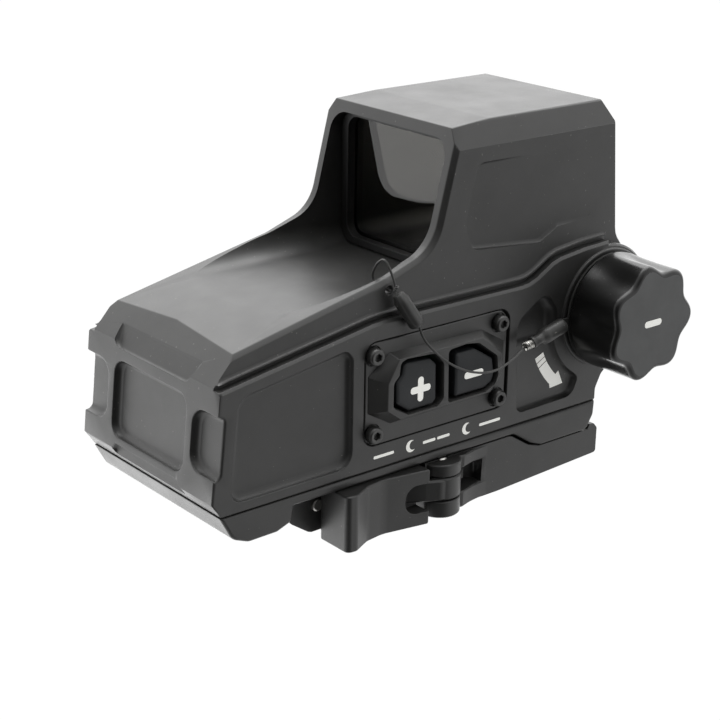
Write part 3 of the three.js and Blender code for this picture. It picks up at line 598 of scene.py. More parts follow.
def studio(back):
    """A white room with a bright far wall, a dark side where the camera stands, and a plain backdrop."""
    world = bpy.data.worlds.new("studio")
    bpy.context.scene.world = world
    world.use_nodes = True
    nodes, links = world.node_tree.nodes, world.node_tree.links
    background = nodes["Background"]
    direction = nodes.new("ShaderNodeTexCoord").outputs["Generated"]

    def toward(aim, stops):
        """How bright the room is around a direction: stops are (cosine, level)."""
        facing = nodes.new("ShaderNodeVectorMath")
        facing.operation = "DOT_PRODUCT"
        facing.inputs[1].default_value = Vector(aim).normalized()
        links.new(direction, facing.inputs[0])
        ramp = nodes.new("ShaderNodeFloatCurve")
        links.new(facing.outputs["Value"], ramp.inputs["Value"])
        curve = ramp.mapping.curves[0]
        curve.points[0].location = stops[0]
        curve.points[1].location = stops[-1]
        for stop in stops[1:-1]:
            curve.points.new(*stop)
        for point in curve.points:
            point.handle_type = "VECTOR"
        ramp.mapping.use_clip = False
        ramp.mapping.update()
        return ramp.outputs["Value"]

    def math_node(kind, a, b):
        node = nodes.new("ShaderNodeMath")
        node.operation = kind
        for socket, value in zip(node.inputs, (a, b)):
            if isinstance(value, float):
                socket.default_value = value
            else:
                links.new(value, socket)
        return node.outputs["Value"]

    dark = toward((back.x, back.y, -0.1), [(-1, 1), (0.45, 1), (0.85, 0.06), (1, 0.06)])
    far = toward((-back.x, -back.y, 0.45), [(-1, 0), (0.3, 0), (0.8, 1), (1, 1)])
    left = toward((-0.8, 0.7, -0.3), [(-1, 0), (0.5, 0), (0.9, 1), (1, 1)])
    floor = toward((0.1, 0.77, -0.63), [(-1, 0), (0.7, 0), (0.9, 1), (1, 1)])
    low = toward((0, 0, -1), [(-1, 0), (0.5, 0), (0.9, 1), (1, 1)])
    level = math_node("MULTIPLY", dark, ROOM)
    level = math_node("ADD", level, math_node("MULTIPLY", far, FAR_WALL))
    level = math_node("ADD", level, math_node("MULTIPLY", left, LEFT_WALL))
    level = math_node("ADD", level, math_node("MULTIPLY", floor, FLOOR))
    level = math_node("SUBTRACT", level, math_node("MULTIPLY", low, LOW_LOSS))
    links.new(math_node("MAXIMUM", level, 0.0), background.inputs["Strength"])
    background.inputs["Color"].default_value = (1, 1, 1, 1)
    bpy.context.scene.view_settings.view_transform = "Standard"

    data = bpy.data.lights.new("overhead", "AREA")
    data.size = 0.9
    data.energy = LAMP
    lamp = bpy.data.objects.new("overhead", data)
    lamp.location = (0.15, 0.2, 0.75)
    lamp.rotation_euler = (Vector((0, 0, 0.03)) - lamp.location).to_track_quat("-Z", "Y").to_euler()
    bpy.context.scene.collection.objects.link(lamp)

    backdrop = lathe([(0, -4), *[(4 * math.cos(t), 4 * math.sin(t)) for t in (math.radians(-80 + 10 * k)
                     for k in range(17))], (0, 4)], "z", (0, 0), 48)
    backdrop.name = "backdrop"
    paper = bpy.data.materials.new("backdrop")
    paper.use_nodes = True
    shader = paper.node_tree.nodes["Principled BSDF"]
    shader.inputs["Base Color"].default_value = (0, 0, 0, 1)
    shader.inputs["Emission Color"].default_value = (1, 1, 1, 1)
    shader.inputs["Emission Strength"].default_value = 1.0
    backdrop.data.materials.append(paper)
    for ray in ("diffuse", "glossy", "transmission", "volume_scatter", "shadow"):
        setattr(backdrop, "visible_" + ray, False)


ROOM, FAR_WALL, LEFT_WALL, FLOOR, LOW_LOSS, LAMP = 1.0, 1.3, 0.5, 1.6, 0.3, 6


# ---- upper housing ----
def deck(x):
    return DECK_START[1] + DECK_SLOPE * (x - DECK_START[0])


LIP = [(-6, 24.0), (3, 24.95), (20, 27.75), (38.4, 30.7), (41.5, 30.95), (78.4, 30.85), (80.6, 31.1),
       (82.8, 31.9), (87.2, 34.4), (89.4, 35.1), (97, 36.0), (104, 36.3), (113, 36.4)]


def gutter():
    """The void beside the upper wall: a broken lip, a dark slot, and a fillet up into the wall."""
    fillet = [(UPPER_HALF + 0.9 * (1 - math.sin(t)) - 0.03, 2.0 - 0.9 * math.cos(t))
              for t in (math.pi / 2 * k / 5 for k in range(6))]
    section = [(BODY_HALF + 2, 9), (UPPER_HALF - 0.03, 9), *reversed(fillet), (20.5, 1.0), (20.5, 0.05),
               (BODY_HALF - 0.55, 0.05), (BODY_HALF - 0.5, 0), (BODY_HALF + 0.3, -0.8), (BODY_HALF + 2, -0.8)]
    return both(sweep(LIP, section))


def lower_block():
    arc = [(TUBE[0] + TUBE_RADIUS * math.cos(t), TUBE[1] + TUBE_RADIUS * math.sin(t))
           for t in (math.radians(88 - 164 * k / 40) for k in range(41))]
    side = [(-3, 0), (-3, 27), (3, 27.6), (40, 33.6), (79, 33.4), (88, 37.6), (97, 38.6), (104.05, 38.6),
            *arc, (104.3, 5.7, 1.5), (102.8, 2.8, 2), (102.8, 0)]
    return stack(side, "y", [(-BODY_HALF, 0.45), (-BODY_HALF + 0.45, 0), (BODY_HALF - 0.45, 0),
                             (BODY_HALF, 0.45)])


def upper_block():
    side = [(-2, 20), (-2, deck(-2)), (44, deck(44), 10), (55.4, 42.6, 9), (61.2, 65.5, 0.3),
            (71.5, 66.15, 20), (104, 66.2), (105.9, 61.5, 2), (108.1, 38.2), (108.35, 37), (108.9, 35.9),
            (109.7, 34.9), (110.6, 33.6), (100, 20)]
    def block_with(chamfer):
        return stack(side, "y", [(-UPPER_HALF, chamfer), (-UPPER_HALF + chamfer, 0),
                                 (UPPER_HALF - chamfer, 0), (UPPER_HALF, chamfer)], steps=10)
    # The rear edges are broad facets, the front ones are crisp.
    block = common(block_with(0.3), fuse(block_with(0.95), slab(76, 120, -30, 30, 0, 90)))
    raise_deck(block)
    section = [(-23, 0), (23, 0), (23, 40), (20.8, 61.4), (18, 65.75), (14, 71), (-14, 71), (-18, 65.75),
               (-20.8, 61.4), (-23, 40)]
    return common(block, stack(section, "x", plain(-10, 120)))


def raise_deck(block):
    """Lifts the deck's middle, so that it has two shallow slopes."""
    bm = bmesh.new()
    bm.from_mesh(block.data)
    bmesh.ops.bisect_plane(bm, geom=[*bm.verts, *bm.edges, *bm.faces], plane_co=(0, 0, 0), plane_no=(0, 1, 0))
    for vert in bm.verts:
        if abs(vert.co.y) < 0.001 and vert.co.x < 50 and vert.co.z > deck(vert.co.x) - 0.5:
            vert.co.z += CROWN
    bm.to_mesh(block.data)
    bm.free()


def end_cut():
    """What is removed beyond the leaning end face and the sloping facet over it."""
    slope = (DECK_START[1] - 25.4) / (DECK_START[0] - END_LEAN)
    return stack([(4.4, -3), (0, 3.3), (END_LEAN, 25.4), (20, 25.4 + slope * (20 - END_LEAN)), (-20, 60),
                  (-20, -3)],
                 "y", plain(-30, 30))


def tilted(obj, x, z, angle):
    obj.data.transform(Matrix.Translation((x, 0, z)) @ Matrix.Rotation(angle, 4, "Y"))
    return obj


def end_pockets():
    leaning = math.atan2(END_LEAN, 22.1)
    facet = math.atan2(DECK_START[0] - END_LEAN, DECK_START[1] - 25.4)
    place_on_end = lambda corners, wall=1.3: tilted(stack(corners, "x", sunk(0, 1.5, wall)), -0.345, 0,
                                                    leaning)
    pane = place_on_end(box(-12.7, 5.8, 12.7, 21.8, 3))
    flank = place_on_end(box(14.8, 8, 27, 20.5, 3.5))
    foot = place_on_end([(-12.7, -4), (12.7, -4), (12.7, 2.8, 0.8), (11, 4.5, 0.8), (-11, 4.5, 0.8),
                         (-12.7, 2.8, 0.8)],
                        0.7)
    brow = stack([(-12.9, -1.4, 2.5), (12.9, -1.4, 2.5), (14.6, 4.0, 0.5), (-14.6, 4.0, 0.5)], "x",
                 sunk(0, 1.3, 1.0))
    brow.data.transform(Matrix(((1, 0, -0.24, -0.24), (0, 1, 0, 0), (0, 0, 1, 0),
                                (0, 0, 0, 1))))  # shallow at its top
    return [pane, *both(flank), foot, tilted(brow, END_LEAN, 25.4, facet)]


def tunnel():
    """The dish in the deck, which narrows into the tunnel through the hood."""
    def opening(half, floor_radius, top_radius=4):
        return ring([(-half, DISH_FLOOR, floor_radius), (half, DISH_FLOOR, floor_radius),
                     (half, TUNNEL_TOP, top_radius), (-half, TUNNEL_TOP, top_radius)], 0, 8)
    stations = [(6, 19.35, 5.5), (36, 19.35, 5.5), (40, 19.25, 5.3), (44, 18.9, 5.2), (49, 18.4, 5),
                (54, 18.12, 5), (60, INNER_HALF, 4), (LENS_X - 1.6, INNER_HALF, 4)]
    bore = loft([[Vector((x, a, b)) for a, b in opening(half, radius)] for x, half, radius in stations])
    front = stack(box(-16.6, 38.2, 16.6, 61.6, 4), "x", plain(90, 115))
    seat = stack(box(-INNER_HALF + 0.3, 36.6, INNER_HALF - 0.3, 62.8, 4), "x",
                 plain(LENS_X - 1.7, LENS_X + 2.6))
    return [bore, front, seat]


def cavity():
    side = [(5, -1), (6.6, 22.5), (11, 27.6), (24, 31), (64, 31), (80, 28.6), (87.5, 27), (87.5, -1)]
    return stack(side, "y", plain(-CAVITY_HALF, CAVITY_HALF))


KEYS = (36.4, 5.5, 74.2, 27.0)
WELL_END = 75.0
KEY_SCREWS = [(38.25, 24.5), (71.7, 24.5), (38.25, 8.1), (71.7, 8.1)]
ADJUSTERS = [(69, 23.4), (79, 23.4)]


def wall_pockets():
    left = stack([(4.2, 2.2, 2.5), (6.4, 23.0, 3.5), (31.9, 26.9, 3), (33.3, 25, 2), (33.3, 2.2, 3.5)], "y",
                 sunk(-BODY_HALF, 1.4, 1.4))
    hood = stack([(66.2, 58.3, 2.5), (99, 58.3, 2), (101, 41.6, 2), (89.8, 41.4, 1.2), (85, 38.7, 3),
                  (65.8, 40.4, 2.5), (63.4, 45.5, 5)], "y", sunk(-UPPER_HALF, 0.7, 0.9))
    fade, deepen = 0.036, 0.035  # the pocket grows shallower towards the far end, and deeper downwards
    hood.data.transform(Matrix(((1, 0, 0, 0), (-fade, 1, -deepen, fade * 66 + deepen * 58), (0, 0, 1, 0),
                                (0, 0, 0, 1))))
    concentric = [(TUBE[0] - 15.9 * math.cos(t), TUBE[1] + 15.9 * math.sin(t))
                  for t in (math.radians(a) for a in (-12, -20, -28, -36, -44, -51, -57))]
    right = stack([(78.1, 2.6, 2), (77.2, 22, 3), (88.6, 22, 0.5), *concentric, (96.6, 6.9, 1.8),
                   (94.9, 2.9, 3)], "y",
                  sunk(-BODY_HALF, 1.4, 1.3))
    hollow = stack([(77.2, 16.8, 1), (77.2, 23.4, 4), (85.4, 28.6, 3.5), (88.9, 24, 4), (89.4, 17.6, 2),
                    (86, 16.8, 2)], "y",
                   sunk(-BODY_HALF, 2.3, 2.0))
    return [*both(left), *both(hood), right, hollow]


def keypad_well():
    x0, z0, x1, z1 = KEYS
    well = stack(box(x0 - 0.2, z0 - 0.2, WELL_END, z1 + 0.2, 2.9), "y", plain(-BODY_HALF - 2, -21.45),
                 steps=10)
    window = stack(box(41.2, 9, 70.7, 23.4, 1.5), "y", plain(-BODY_HALF - 1, -19))
    return [well, window, *[pin("y", x, z, 1.15, -24, -19.8, 16) for x, z in KEY_SCREWS]]


def housing_shell():
    shell = cut(lower_block(), *gutter())
    fuse(shell, upper_block())
    cut(shell, end_cut())
    boss = lathe([(0, -BODY_HALF - 0.5), (12.9, -BODY_HALF - 0.5), (13.15, -BODY_HALF - 0.3), (13.15, -18),
                  (0, -18)],
                 "y", TUBE, 96)
    fuse(shell, boss)
    bores = [lathe([(0, -30), (11.4, -30), (11.4, -17.2), (9.1, -17.2), (9.1, 18.6), (0, 18.6)], "y", TUBE,
                   64),
             pin("y", 43.8, 36.2, 0.9, -24, -16, 20)]
    for x, z in ADJUSTERS:
        bores.append(lathe([(0, 24), (4.6, 24), (4.6, 21.5), (2.4, 21.5), (2.4, 19), (0, 19)], "y", (x, z),
                           48))
    light_path = slab(70.5, 78.5, -7.5, 7.5, 27, 37)
    cut(shell, *tunnel(), cavity(), *end_pockets(), *wall_pockets(), *keypad_well(), *bores, light_path)

    def low_corner(run):
        points = [p for _, *pair in run for p in pair]
        rise = max(p.z for p in points) - min(p.z for p in points)
        return rise > 0.8 and all(abs(p.y) > BODY_HALF - 3.5 and p.x < 5 for p in points)

    finished(shell, broad=low_corner, broad_edge=0.55)
    return place(shell, "housing_shell", ANODISED, "housing", "anodised_housing", "upper_housing")


# ---- bottom cover ----
COVER_SCREWS = [(14, -16.8), (14, 16.8), (96.5, -17), (96.5, 17)]


def cover_shell():
    side = [(2, -0.06), (4.8, -5.2, 3), (8.5, -6.7, 3), (15.2, -6.6, 2), (18.6, -5.4, 1.5), (19.2, -2.1),
            (78, -2.1, 3), (83.5, -5.6, 3), (86.5, -6.7, 2), (100.6, -6.7, 2), (102.6, -3.4, 2),
            (102.8, -0.06)]
    shell = stack(side, "y", [(-BODY_HALF, 0.45), (-BODY_HALF + 0.45, 0), (BODY_HALF - 0.45, 0),
                              (BODY_HALF, 0.45)],
                  steps=8)
    bores = [lathe([(0, -12), (2.3, -12), (2.3, -4.1), (1.4, -4.1), (1.4, 3), (0, 3)], "z", at, 32)
             for at in COVER_SCREWS]
    posts = [pin("z", x, y, 2.4, -1.4, 3.4, 24) for x, y in ((24, -13), (62, 13))]
    taps = [pin("z", x, y, 0.9, -0.6, 8, 16) for x, y in ((24, -13), (62, 13))]
    half = CAVITY_HALF - 1.6
    tongue = cut(slab(7.3, 85.7, -half, half, -1.2, 1.6), slab(8.9, 84.1, 1.6 - half, half - 1.6, -2.2, 2.6))
    fuse(shell, tongue, *posts)
    cut(shell, *bores, *taps)
    return place(finished(shell), "cover_shell", ANODISED, "housing", "anodised_housing", "bottom_cover")


# ---- keypad ----
FRAME_FACE = -25.5
BUTTON_FACE = -25.1
PLUS = [(42.7, 14, 1.0), (42.6, 18.4, 1.0), (44, 19.8, 1.0), (44.4, 22.1, 1.2), (51.4, 21.7, 1.4),
        (53.1, 20.2, 0.9), (53.3, 12.6, 0.7), (52.4, 11.7, 0.7), (46, 11.7, 1.2)]
PLUS_WELL = [(41.8, 13.6, 1.0), (41.8, 18.6, 1.0), (43.2, 20.0, 1.0), (43.5, 22.5, 0.8), (44.9, 22.95, 0.8),
             (52.2, 22.5, 1.6), (54.5, 20, 1.4), (54.7, 12.6, 1.2), (53.2, 11.35, 0.8), (45.6, 11.35, 1.2)]
MINUS = [(58.2, 11.8, 0.6), (58.1, 21.2, 0.8), (63.4, 21.2, 1.2), (68.6, 18, 1.0), (69.2, 14.4, 0.8),
         (68.6, 12.8, 0.7), (66.4, 11.8, 0.9)]
MINUS_WELL = [(56.3, 11.4, 0.5), (56, 22.4, 0.8), (60.6, 22.7, 1.0), (64, 22.2, 1.2), (69.2, 18.4, 1.0),
              (69.7, 14.3, 0.8), (69, 12.5, 0.7), (66.5, 11.4, 1.0)]


def keypad_frame():
    x0, z0, x1, z1 = KEYS
    plate = stack(box(x0, z0, x1, z1, 2.8), "y", [(-BODY_HALF, 0.15), (-BODY_HALF + 0.15, 0), (-22.1, 0)],
                  steps=10)
    base = [(37.1, 12.6), (37.1, 20.3), (42.4, 24.3), (67.2, 23.8), (73.4, 20.2), (73.4, 13.6), (70.2, 9.5),
            (42.8, 9.3)]
    crest = [(40.2, 13.2), (40.2, 18.8), (42.9, 23.4), (65.0, 23.2), (70.7, 18.7), (70.7, 14.2), (67.6, 10.9),
             (43.6, 10.7)]
    raised = loft([[Vector((x, -21.9, z)) for x, z in base],
                   [Vector((x, -BODY_HALF - 0.1, z)) for x, z in base],
                   [Vector((x, FRAME_FACE, z)) for x, z in crest]])
    fuse(plate, raised)
    openings = [stack(corners, "y", [(FRAME_FACE - 0.6, -0.3), (FRAME_FACE + 0.1, -0.2),
                                     (BUTTON_FACE + 0.2, 0), (-20, 0)],
                      steps=6) for corners in (PLUS_WELL, MINUS_WELL)]
    seats = [lathe([(0, -27), (2.15, -27), (2.15, -22.5), (1.3, -22.5), (1.3, -20), (0, -20)], "y", at, 36)
             for at in KEY_SCREWS]
    cut(plate, *openings, *seats)
    place(finished(plate, 0.18), "keypad_frame", ANODISED, "housing", "anodised_housing", "keypad_plate")


def rubber_button(name, node, body, corners):
    low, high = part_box(node)
    back = (high.y - ORIGIN.y) / MM
    middle = ((low + high) / 2 - ORIGIN) / MM
    levels = [(BUTTON_FACE, 0.9), (BUTTON_FACE + 0.06, 0.45), (BUTTON_FACE + 0.25, 0.15),
              (BUTTON_FACE + 0.6, 0), (-20.6, 0)]
    cap = stack(corners, "y", levels, steps=6)
    fuse(cap, pin("y", middle.x, middle.z, 1.4, -21, back, 24))
    place(finished(cap, 0), name, BUTTON_RUBBER, body, "button_rubber", node)


PAINT = 0.05  # how far a painted mark stands out


def inlay(name, corners, surface, body):
    """A thin painted mark on a surface that faces -y."""
    mark = stack(corners, "y", [(surface - PAINT, 0.04), (surface - PAINT * 0.5, 0), (surface + 0.1, 0)],
                 steps=8)
    return place(finished(mark, 0), name, GLOWING_WHITE_PAINT, body, "white_paint")


def bar(x, z, length, width, radius=None):
    radius = width * 0.45 if radius is None else radius
    return box(x - length / 2, z - width / 2, x + length / 2, z + width / 2, radius)


def symbols():
    plus = stack(bar(48.9, 15.8, 5.2, 1.45), "y", plain(BUTTON_FACE - 0.05, BUTTON_FACE + 0.1), steps=8)
    fuse(plus, stack(bar(48.9, 15.8, 1.45, 5.2), "y", plain(BUTTON_FACE - 0.045, BUTTON_FACE + 0.095),
                     steps=8))
    place(finished(plus, 0), "plus_symbol", GLOWING_WHITE_PAINT, "plus_key", "white_paint")
    inlay("minus_symbol", bar(63.3, 15.75, 5.2, 1.45), BUTTON_FACE, "minus_key")


WALL_MARKS = [(38.8, 44.1), (51.8, 55.2), (55.7, 59.1), (67.4, 73.4)]


def wall_marks():
    """Dashes under the keypad, and a crescent between them where a mode is named."""
    wall = -BODY_HALF
    for i, (x0, x1) in enumerate(WALL_MARKS):
        inlay(f"dash_{i + 1}", bar((x0 + x1) / 2, 2.75, x1 - x0, 0.62, 0.25), wall, "housing")
    for i, x in enumerate((48.6, 63.9)):
        moon = cut(stack(disc(x, 2.85, 1.3, 40), "y", plain(wall - 0.05, wall + 0.1)),
                   pin("y", x + 0.62, 2.95, 1.02, wall - 1, wall + 1, 40))
        place(finished(moon, 0), f"mode_mark_{i + 1}", GLOWING_WHITE_PAINT, "housing", "white_paint")


def turn_arrow():
    """A curved arrow about the battery tube, in the floor of the wall pocket."""
    floor = -BODY_HALF + 1.4
    at = lambda radius, degrees: (TUBE[0] + radius * math.cos(math.radians(degrees)),
                                  TUBE[1] + radius * math.sin(math.radians(degrees)))
    spans = [(203.5, 207.0), (207.6, 210.7), (211.3, 226.3)]
    for i, (start, end) in enumerate(spans):
        turns = [start + (end - start) * k / 8 for k in range(9)]
        corners = [at(20.9, a) for a in turns] + [at(18.35, a) for a in reversed(turns)]
        if i == 2:
            corners = [at(20.9, a) for a in turns] + [at(21.5, 228.6), at(18.9, 236.8), at(17.3, 226.8)] \
                + [at(18.35, a) for a in reversed(turns)]
        inlay(f"arrow_{i + 1}", corners, floor, "housing")


# ---- screws ----
HEAD_HEIGHTS = {1.6: 1.2, 1.8: 1.6, 2.1: 2.2, 2.6: 2.6}  # of the screws, by the radius of the head


def socket_screw(name, node, axis, facing, body):
    """A cap screw with a rounded head and a hexagonal socket, where its CAD node is."""
    low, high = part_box(node)
    low, high = (low - ORIGIN) / MM, (high - ORIGIN) / MM
    index = "xyz".index(axis)
    others = [i for i in range(3) if i != index]
    centre = [(low[i] + high[i]) / 2 for i in others]
    head = (high[others[0]] - low[others[0]]) / 2
    top = high[index] if facing > 0 else low[index]
    foot = low[index] if facing > 0 else high[index]
    at = lambda depth: top - facing * depth
    height = HEAD_HEIGHTS.get(round(head, 1), head)
    shank = head * 0.5
    profile = [(0, at(0)), (head * 0.8, at(0)), (head * 0.93, at(0.12 * head)), (head, at(0.3 * head)),
               (head, at(height)), (shank, at(height)), (shank, foot), (0, foot)]
    screw = lathe(profile, axis, centre, 40)
    socket = stack([(centre[0] + head * 0.5 * math.cos(t), centre[1] + head * 0.5 * math.sin(t))
                    for t in (math.radians(60 * k + 20) for k in range(6))], axis,
                   [(at(-1), 0), (at(0.02), 0), (at(height * 0.55), 0)])
    dimple = lathe([(0, at(-1)), (head * 0.56, at(-1)), (head * 0.56, at(0)), (head * 0.46, at(0.1)),
                    (0, at(0.1))],
                   axis, centre, 32)
    cut(screw, socket, dimple)
    place(finished(screw, 0.05), name, BLACK_STEEL, body, "black_screws", node)


def screws():
    for i in range(1, 5):
        socket_screw(f"keypad_bolt_{i}", f"keypad_screw_{i}", "y", -1, "housing")
        socket_screw(f"cover_bolt_{i}", f"cover_screw_{i}", "z", -1, "housing")
        socket_screw(f"mount_bolt_{i}", f"mount_screw_{i}", "z", -1, "housing")


# ---- battery cap ----
KNOB_FACE, KNOB_BACK = -37.0, -24.6
KNOB_RADIUS, LOBE, LOBES = 12.9, 0.93, 7


def lobed(inset=0.0, depth=1.0, steps=168):
    """The grip's outline, a polygon of broad lobes with slightly hollow sides; at depth 0 it is round."""
    points = []
    for k in range(steps):
        angle = 2 * math.pi * k / steps
        radius = KNOB_RADIUS - inset - LOBE * depth * (1 - math.cos(LOBES * angle + 0.21))
        points.append((TUBE[0] + radius * math.cos(angle), TUBE[1] + radius * math.sin(angle)))
    return points


def battery_cap():
    rim, steps = 1.15, 8
    levels = []
    for k in range(steps + 1):
        t = math.pi / 2 * k / steps
        levels.append((KNOB_FACE + rim * (1 - math.cos(t)), rim * (1 - math.sin(t)), 1))
    levels += [(-33, 0, 1), (-31, 0, 0.94), (-29, 0, 0.78), (-27, 0, 0.5), (-25.6, 0, 0.25),
               (KNOB_BACK - 0.4, 0.05, 0.12), (KNOB_BACK - 0.1, 0.3, 0.1), (KNOB_BACK, 0.7, 0.1)]
    grip = loft([[Vector((a, y, b)) for a, b in lobed(inset, depth)] for y, inset, depth in levels])
    plug = lathe([(0, -25.6), (9.2, -25.6), (9.2, -22.6), (10.9, -22.6), (10.9, -20.2), (9.6, -20.2),
                  (9.6, -18.6), (10.9, -18.6), (10.9, -17.7), (8.4, -17.7), (8.4, -19), (0, -19)], "y", TUBE,
                 64)
    fuse(grip, plug)
    cap = place(finished(grip, 0, 40), "cap_grip", ANODISED_GLOSS, "cap", "anodised_cap", "battery_cap")
    face = loft([[Vector((a, KNOB_FACE - 0.02, b)) for a, b in lobed(rim + 0.05)],
                 [Vector((a, KNOB_FACE + 0.1, b)) for a, b in lobed(rim - 0.05)]])
    place(finished(face, 0), "cap_face", ANODISED_FACE, "cap", "anodised_cap")
    index = stack(bar(TUBE[0], TUBE[1], 5.2, 1.45, 0.7), "y", plain(KNOB_FACE - 0.06, KNOB_FACE + 0.1))
    place(finished(index, 0), "cap_index", GLOWING_WHITE_PAINT, "cap", "white_paint")
    return cap


# ---- lever and mount ----
def rail_void():
    top, widest, depth, reach = 7.85, 10.7, 2.8, 5.6
    section = [(-top, SEAT_Z), (top, SEAT_Z), (widest, SEAT_Z - depth), (top + 0.3, SEAT_Z - reach),
               (top + 0.3, -30), (-18.6, -30), (-18.6, SEAT_Z - reach), (-widest, SEAT_Z - depth)]
    return stack(section, "x", plain(15, 110))


def ear(low, high):
    """A hinge lug: a round end that runs into the plate's side with a hollow curve."""
    x, y = PIVOT
    arc = [(x + PIVOT_RADIUS * math.cos(t), y + PIVOT_RADIUS * math.sin(t))
           for t in (math.radians(-28 - 6.4 * k) for k in range(24))]
    blend = [(73, -22.3), (70.5, -22.42), (68, -22.65), (65.8, -23.0), (64, -23.5), (62.9, -23.85)]
    return stack([(73, y + 2.8), *blend, *arc, (x - PIVOT_RADIUS, y + 2.8)], "z",
                 [(low, 0.3), (low + 0.3, 0), (high - 0.3, 0), (high, 0.3)])


def mount_plate():
    side = [(20, -2.4), (77.5, -2.4, 3), (83, -5.9, 3), (86.4, -6.95, 2), (101.4, -6.95), (102, -5.9, 0.3),
            (103.4, -5.9, 1), (104.6, -7.2, 0.8), (104.6, -13.2, 0.8), (86, -14.0, 9), (74, MOUNT_BOTTOM, 9),
            (33, MOUNT_BOTTOM, 2), (27.5, -12.6, 2), (23.4, -9.8, 2), (20, -6.0, 2)]
    half = 22.4
    plate = stack(side, "y", [(-half, 0.12), (0.12 - half, 0), (half - 1.7, 0), (half - 1.2, 0.5)], steps=8)
    lever_room = slab(28.9, 53.2, -40, -16.6, -30, 5)
    foot_room = slab(15, 30, -40, -16.6, -30, 5)
    cut(plate, rail_void(), slab(32.5, 99.5, -18.6, 0, -20, SEAT_Z), lever_room, foot_room)
    lugs = [slab(x - 2.5, x + 2.5, -7.2, 7.2, SEAT_Z - 2.9, SEAT_Z + 1) for x in (42.5, 82.5)]
    fuse(plate, ear(-5.4, -2.6), ear(MOUNT_BOTTOM, -10.8), *lugs)
    slot = stack([(48, -40), (69.3, -40), (69.3, -19.4, 1), (62.6, -16.6), (48, -16.6)], "z",
                 plain(-10.8, -5.5))
    bores = [lathe([(0, -30), (2.9, -30), (2.9, SEAT_Z + 3.2), (1.6, SEAT_Z + 3.2), (1.6, 5), (0, 5)], "z",
                   at, 32)
             for at in ((30, -4), (30, 4), (75, -4), (75, 4))]
    guides = [pin("y", x, SEAT_Z - 1.7, 0.95, -17, 13.5, 24) for x in (42.5, 82.5)]
    cut(plate, slot, pin("z", *PIVOT, 1.56, -30, 5, 32), *bores, *guides)
    return place(finished(plate, 0.15), "mount_plate", ANODISED, "housing", "anodised_mount", "mount_base")


def throw_lever():
    blade = stack([(29.8, -17.2, 0.8), (29.8, -26.2, 1.3), (32.2, -26.4, 1.6), (36.5, -24.3, 5),
                   (41, -23.7, 8), (51.9, -25.6, 0.4), (51.9, -20.6, 0.8), (44, -19.6, 4), (36, -19.4, 3),
                   (33.6, -17.2, 1)], "z",
                  [(MOUNT_BOTTOM, 0.35), (MOUNT_BOTTOM + 0.12, 0.1), (MOUNT_BOTTOM + 0.35, 0), (-2.65, 0),
                   (-2.42, 0.1), (-2.3, 0.35)], steps=8)
    notch = stack([(46.2, -5.3, 2.8), (56, -5.3, 1), (56, -11.6, 1), (46.2, -11.6, 2.8)], "y",
                  plain(-40, -21.4), steps=8)
    heel = stack([(50.2, -16), (53, -16), (53, -12.4)], "y", plain(-40, -10))
    x, y = PIVOT
    neck = stack([(44, -21.0, 0.5), (48.6, -21.9, 3), (52.2, -24.0, 3), (55.2, -25.5, 3),
                  (x, y - PIVOT_RADIUS + 0.3), (x, y + PIVOT_RADIUS - 1.6), (46, -20.1)], "z",
                 [(-10.4, 0.4), (-10.0, 0), (-6.1, 0), (-5.7, 0.4)])
    knuckle = stack(disc(x, y, PIVOT_RADIUS, 64), "z", [(-10.5, 0.3), (-10.2, 0), (-5.9, 0), (-5.6, 0.3)])
    cut(blade, notch, heel)
    fuse(blade, neck, knuckle)
    cut(blade, pin("z", x, y, 1.56, -30, 5, 32))
    return place(finished(blade, 0.15), "throw_lever", ANODISED, "lever", "anodised_mount", "qd_lever")


def foot_stud():
    stud = lathe([(0, -17.5), (1.1, -17.5), (1.35, -17.25), (1.35, -16.4), (0, -16.4)], "y", (29.4, -6.9), 32)
    return place(finished(stud, 0), "foot_stud", BRIGHT_STEEL, "housing", "bright_steel")


def pivot_pin():
    low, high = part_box("lever_pin")
    bottom, top = (low.z - ORIGIN.z) / MM, (high.z - ORIGIN.z) / MM
    body = lathe([(0, bottom), (1.2, bottom), (1.5, bottom + 0.3), (1.5, top - 0.3), (1.25, top - 0.05),
                  (0.5, top), (0.4, top - 0.15), (0, top - 0.2)], "z", PIVOT, 40)
    return place(finished(body, 0), "pivot_pin", BRIGHT_STEEL, "housing", "bright_steel", "lever_pin")


# ---- lanyard ----
ROUTE = [(47.95, -25.35, 28.9), (48.6, -26.1, 26.6), (50.7, -26.8, 23.9), (54.2, -27.1, 20.85),
         (57.7, -27.3, 18.7), (61, -27.4, 17.3), (64.7, -27.4, 16.4), (68.5, -27.2, 16.35),
         (72.4, -26.8, 17.3), (75.3, -26.4, 18.5), (78.2, -26, 19.2)]
LOOP = [(43.8, -21.2, 36.2), (43.8, -19.4, 36.2), (43.6, -17.2, 36.6), (43.2, -16.4, 38.2),
        (42.9, -17.6, 40.4), (42.8, -19.2, 42), (43, -20.4, 42.2), (43.4, -21.4, 40.6), (43.9, -22.2, 38.2),
        (44.05, -22.6, 36.4)]
REAR_SLEEVE = ((44.2, -22.9, 35.9), (47.75, -25.15, 29.3), 1.65)
FRONT_SLEEVE = ((78.5, -25.95, 19.25), (88.5, -25.4, 21.1), 1.75)
WIRE = 0.25


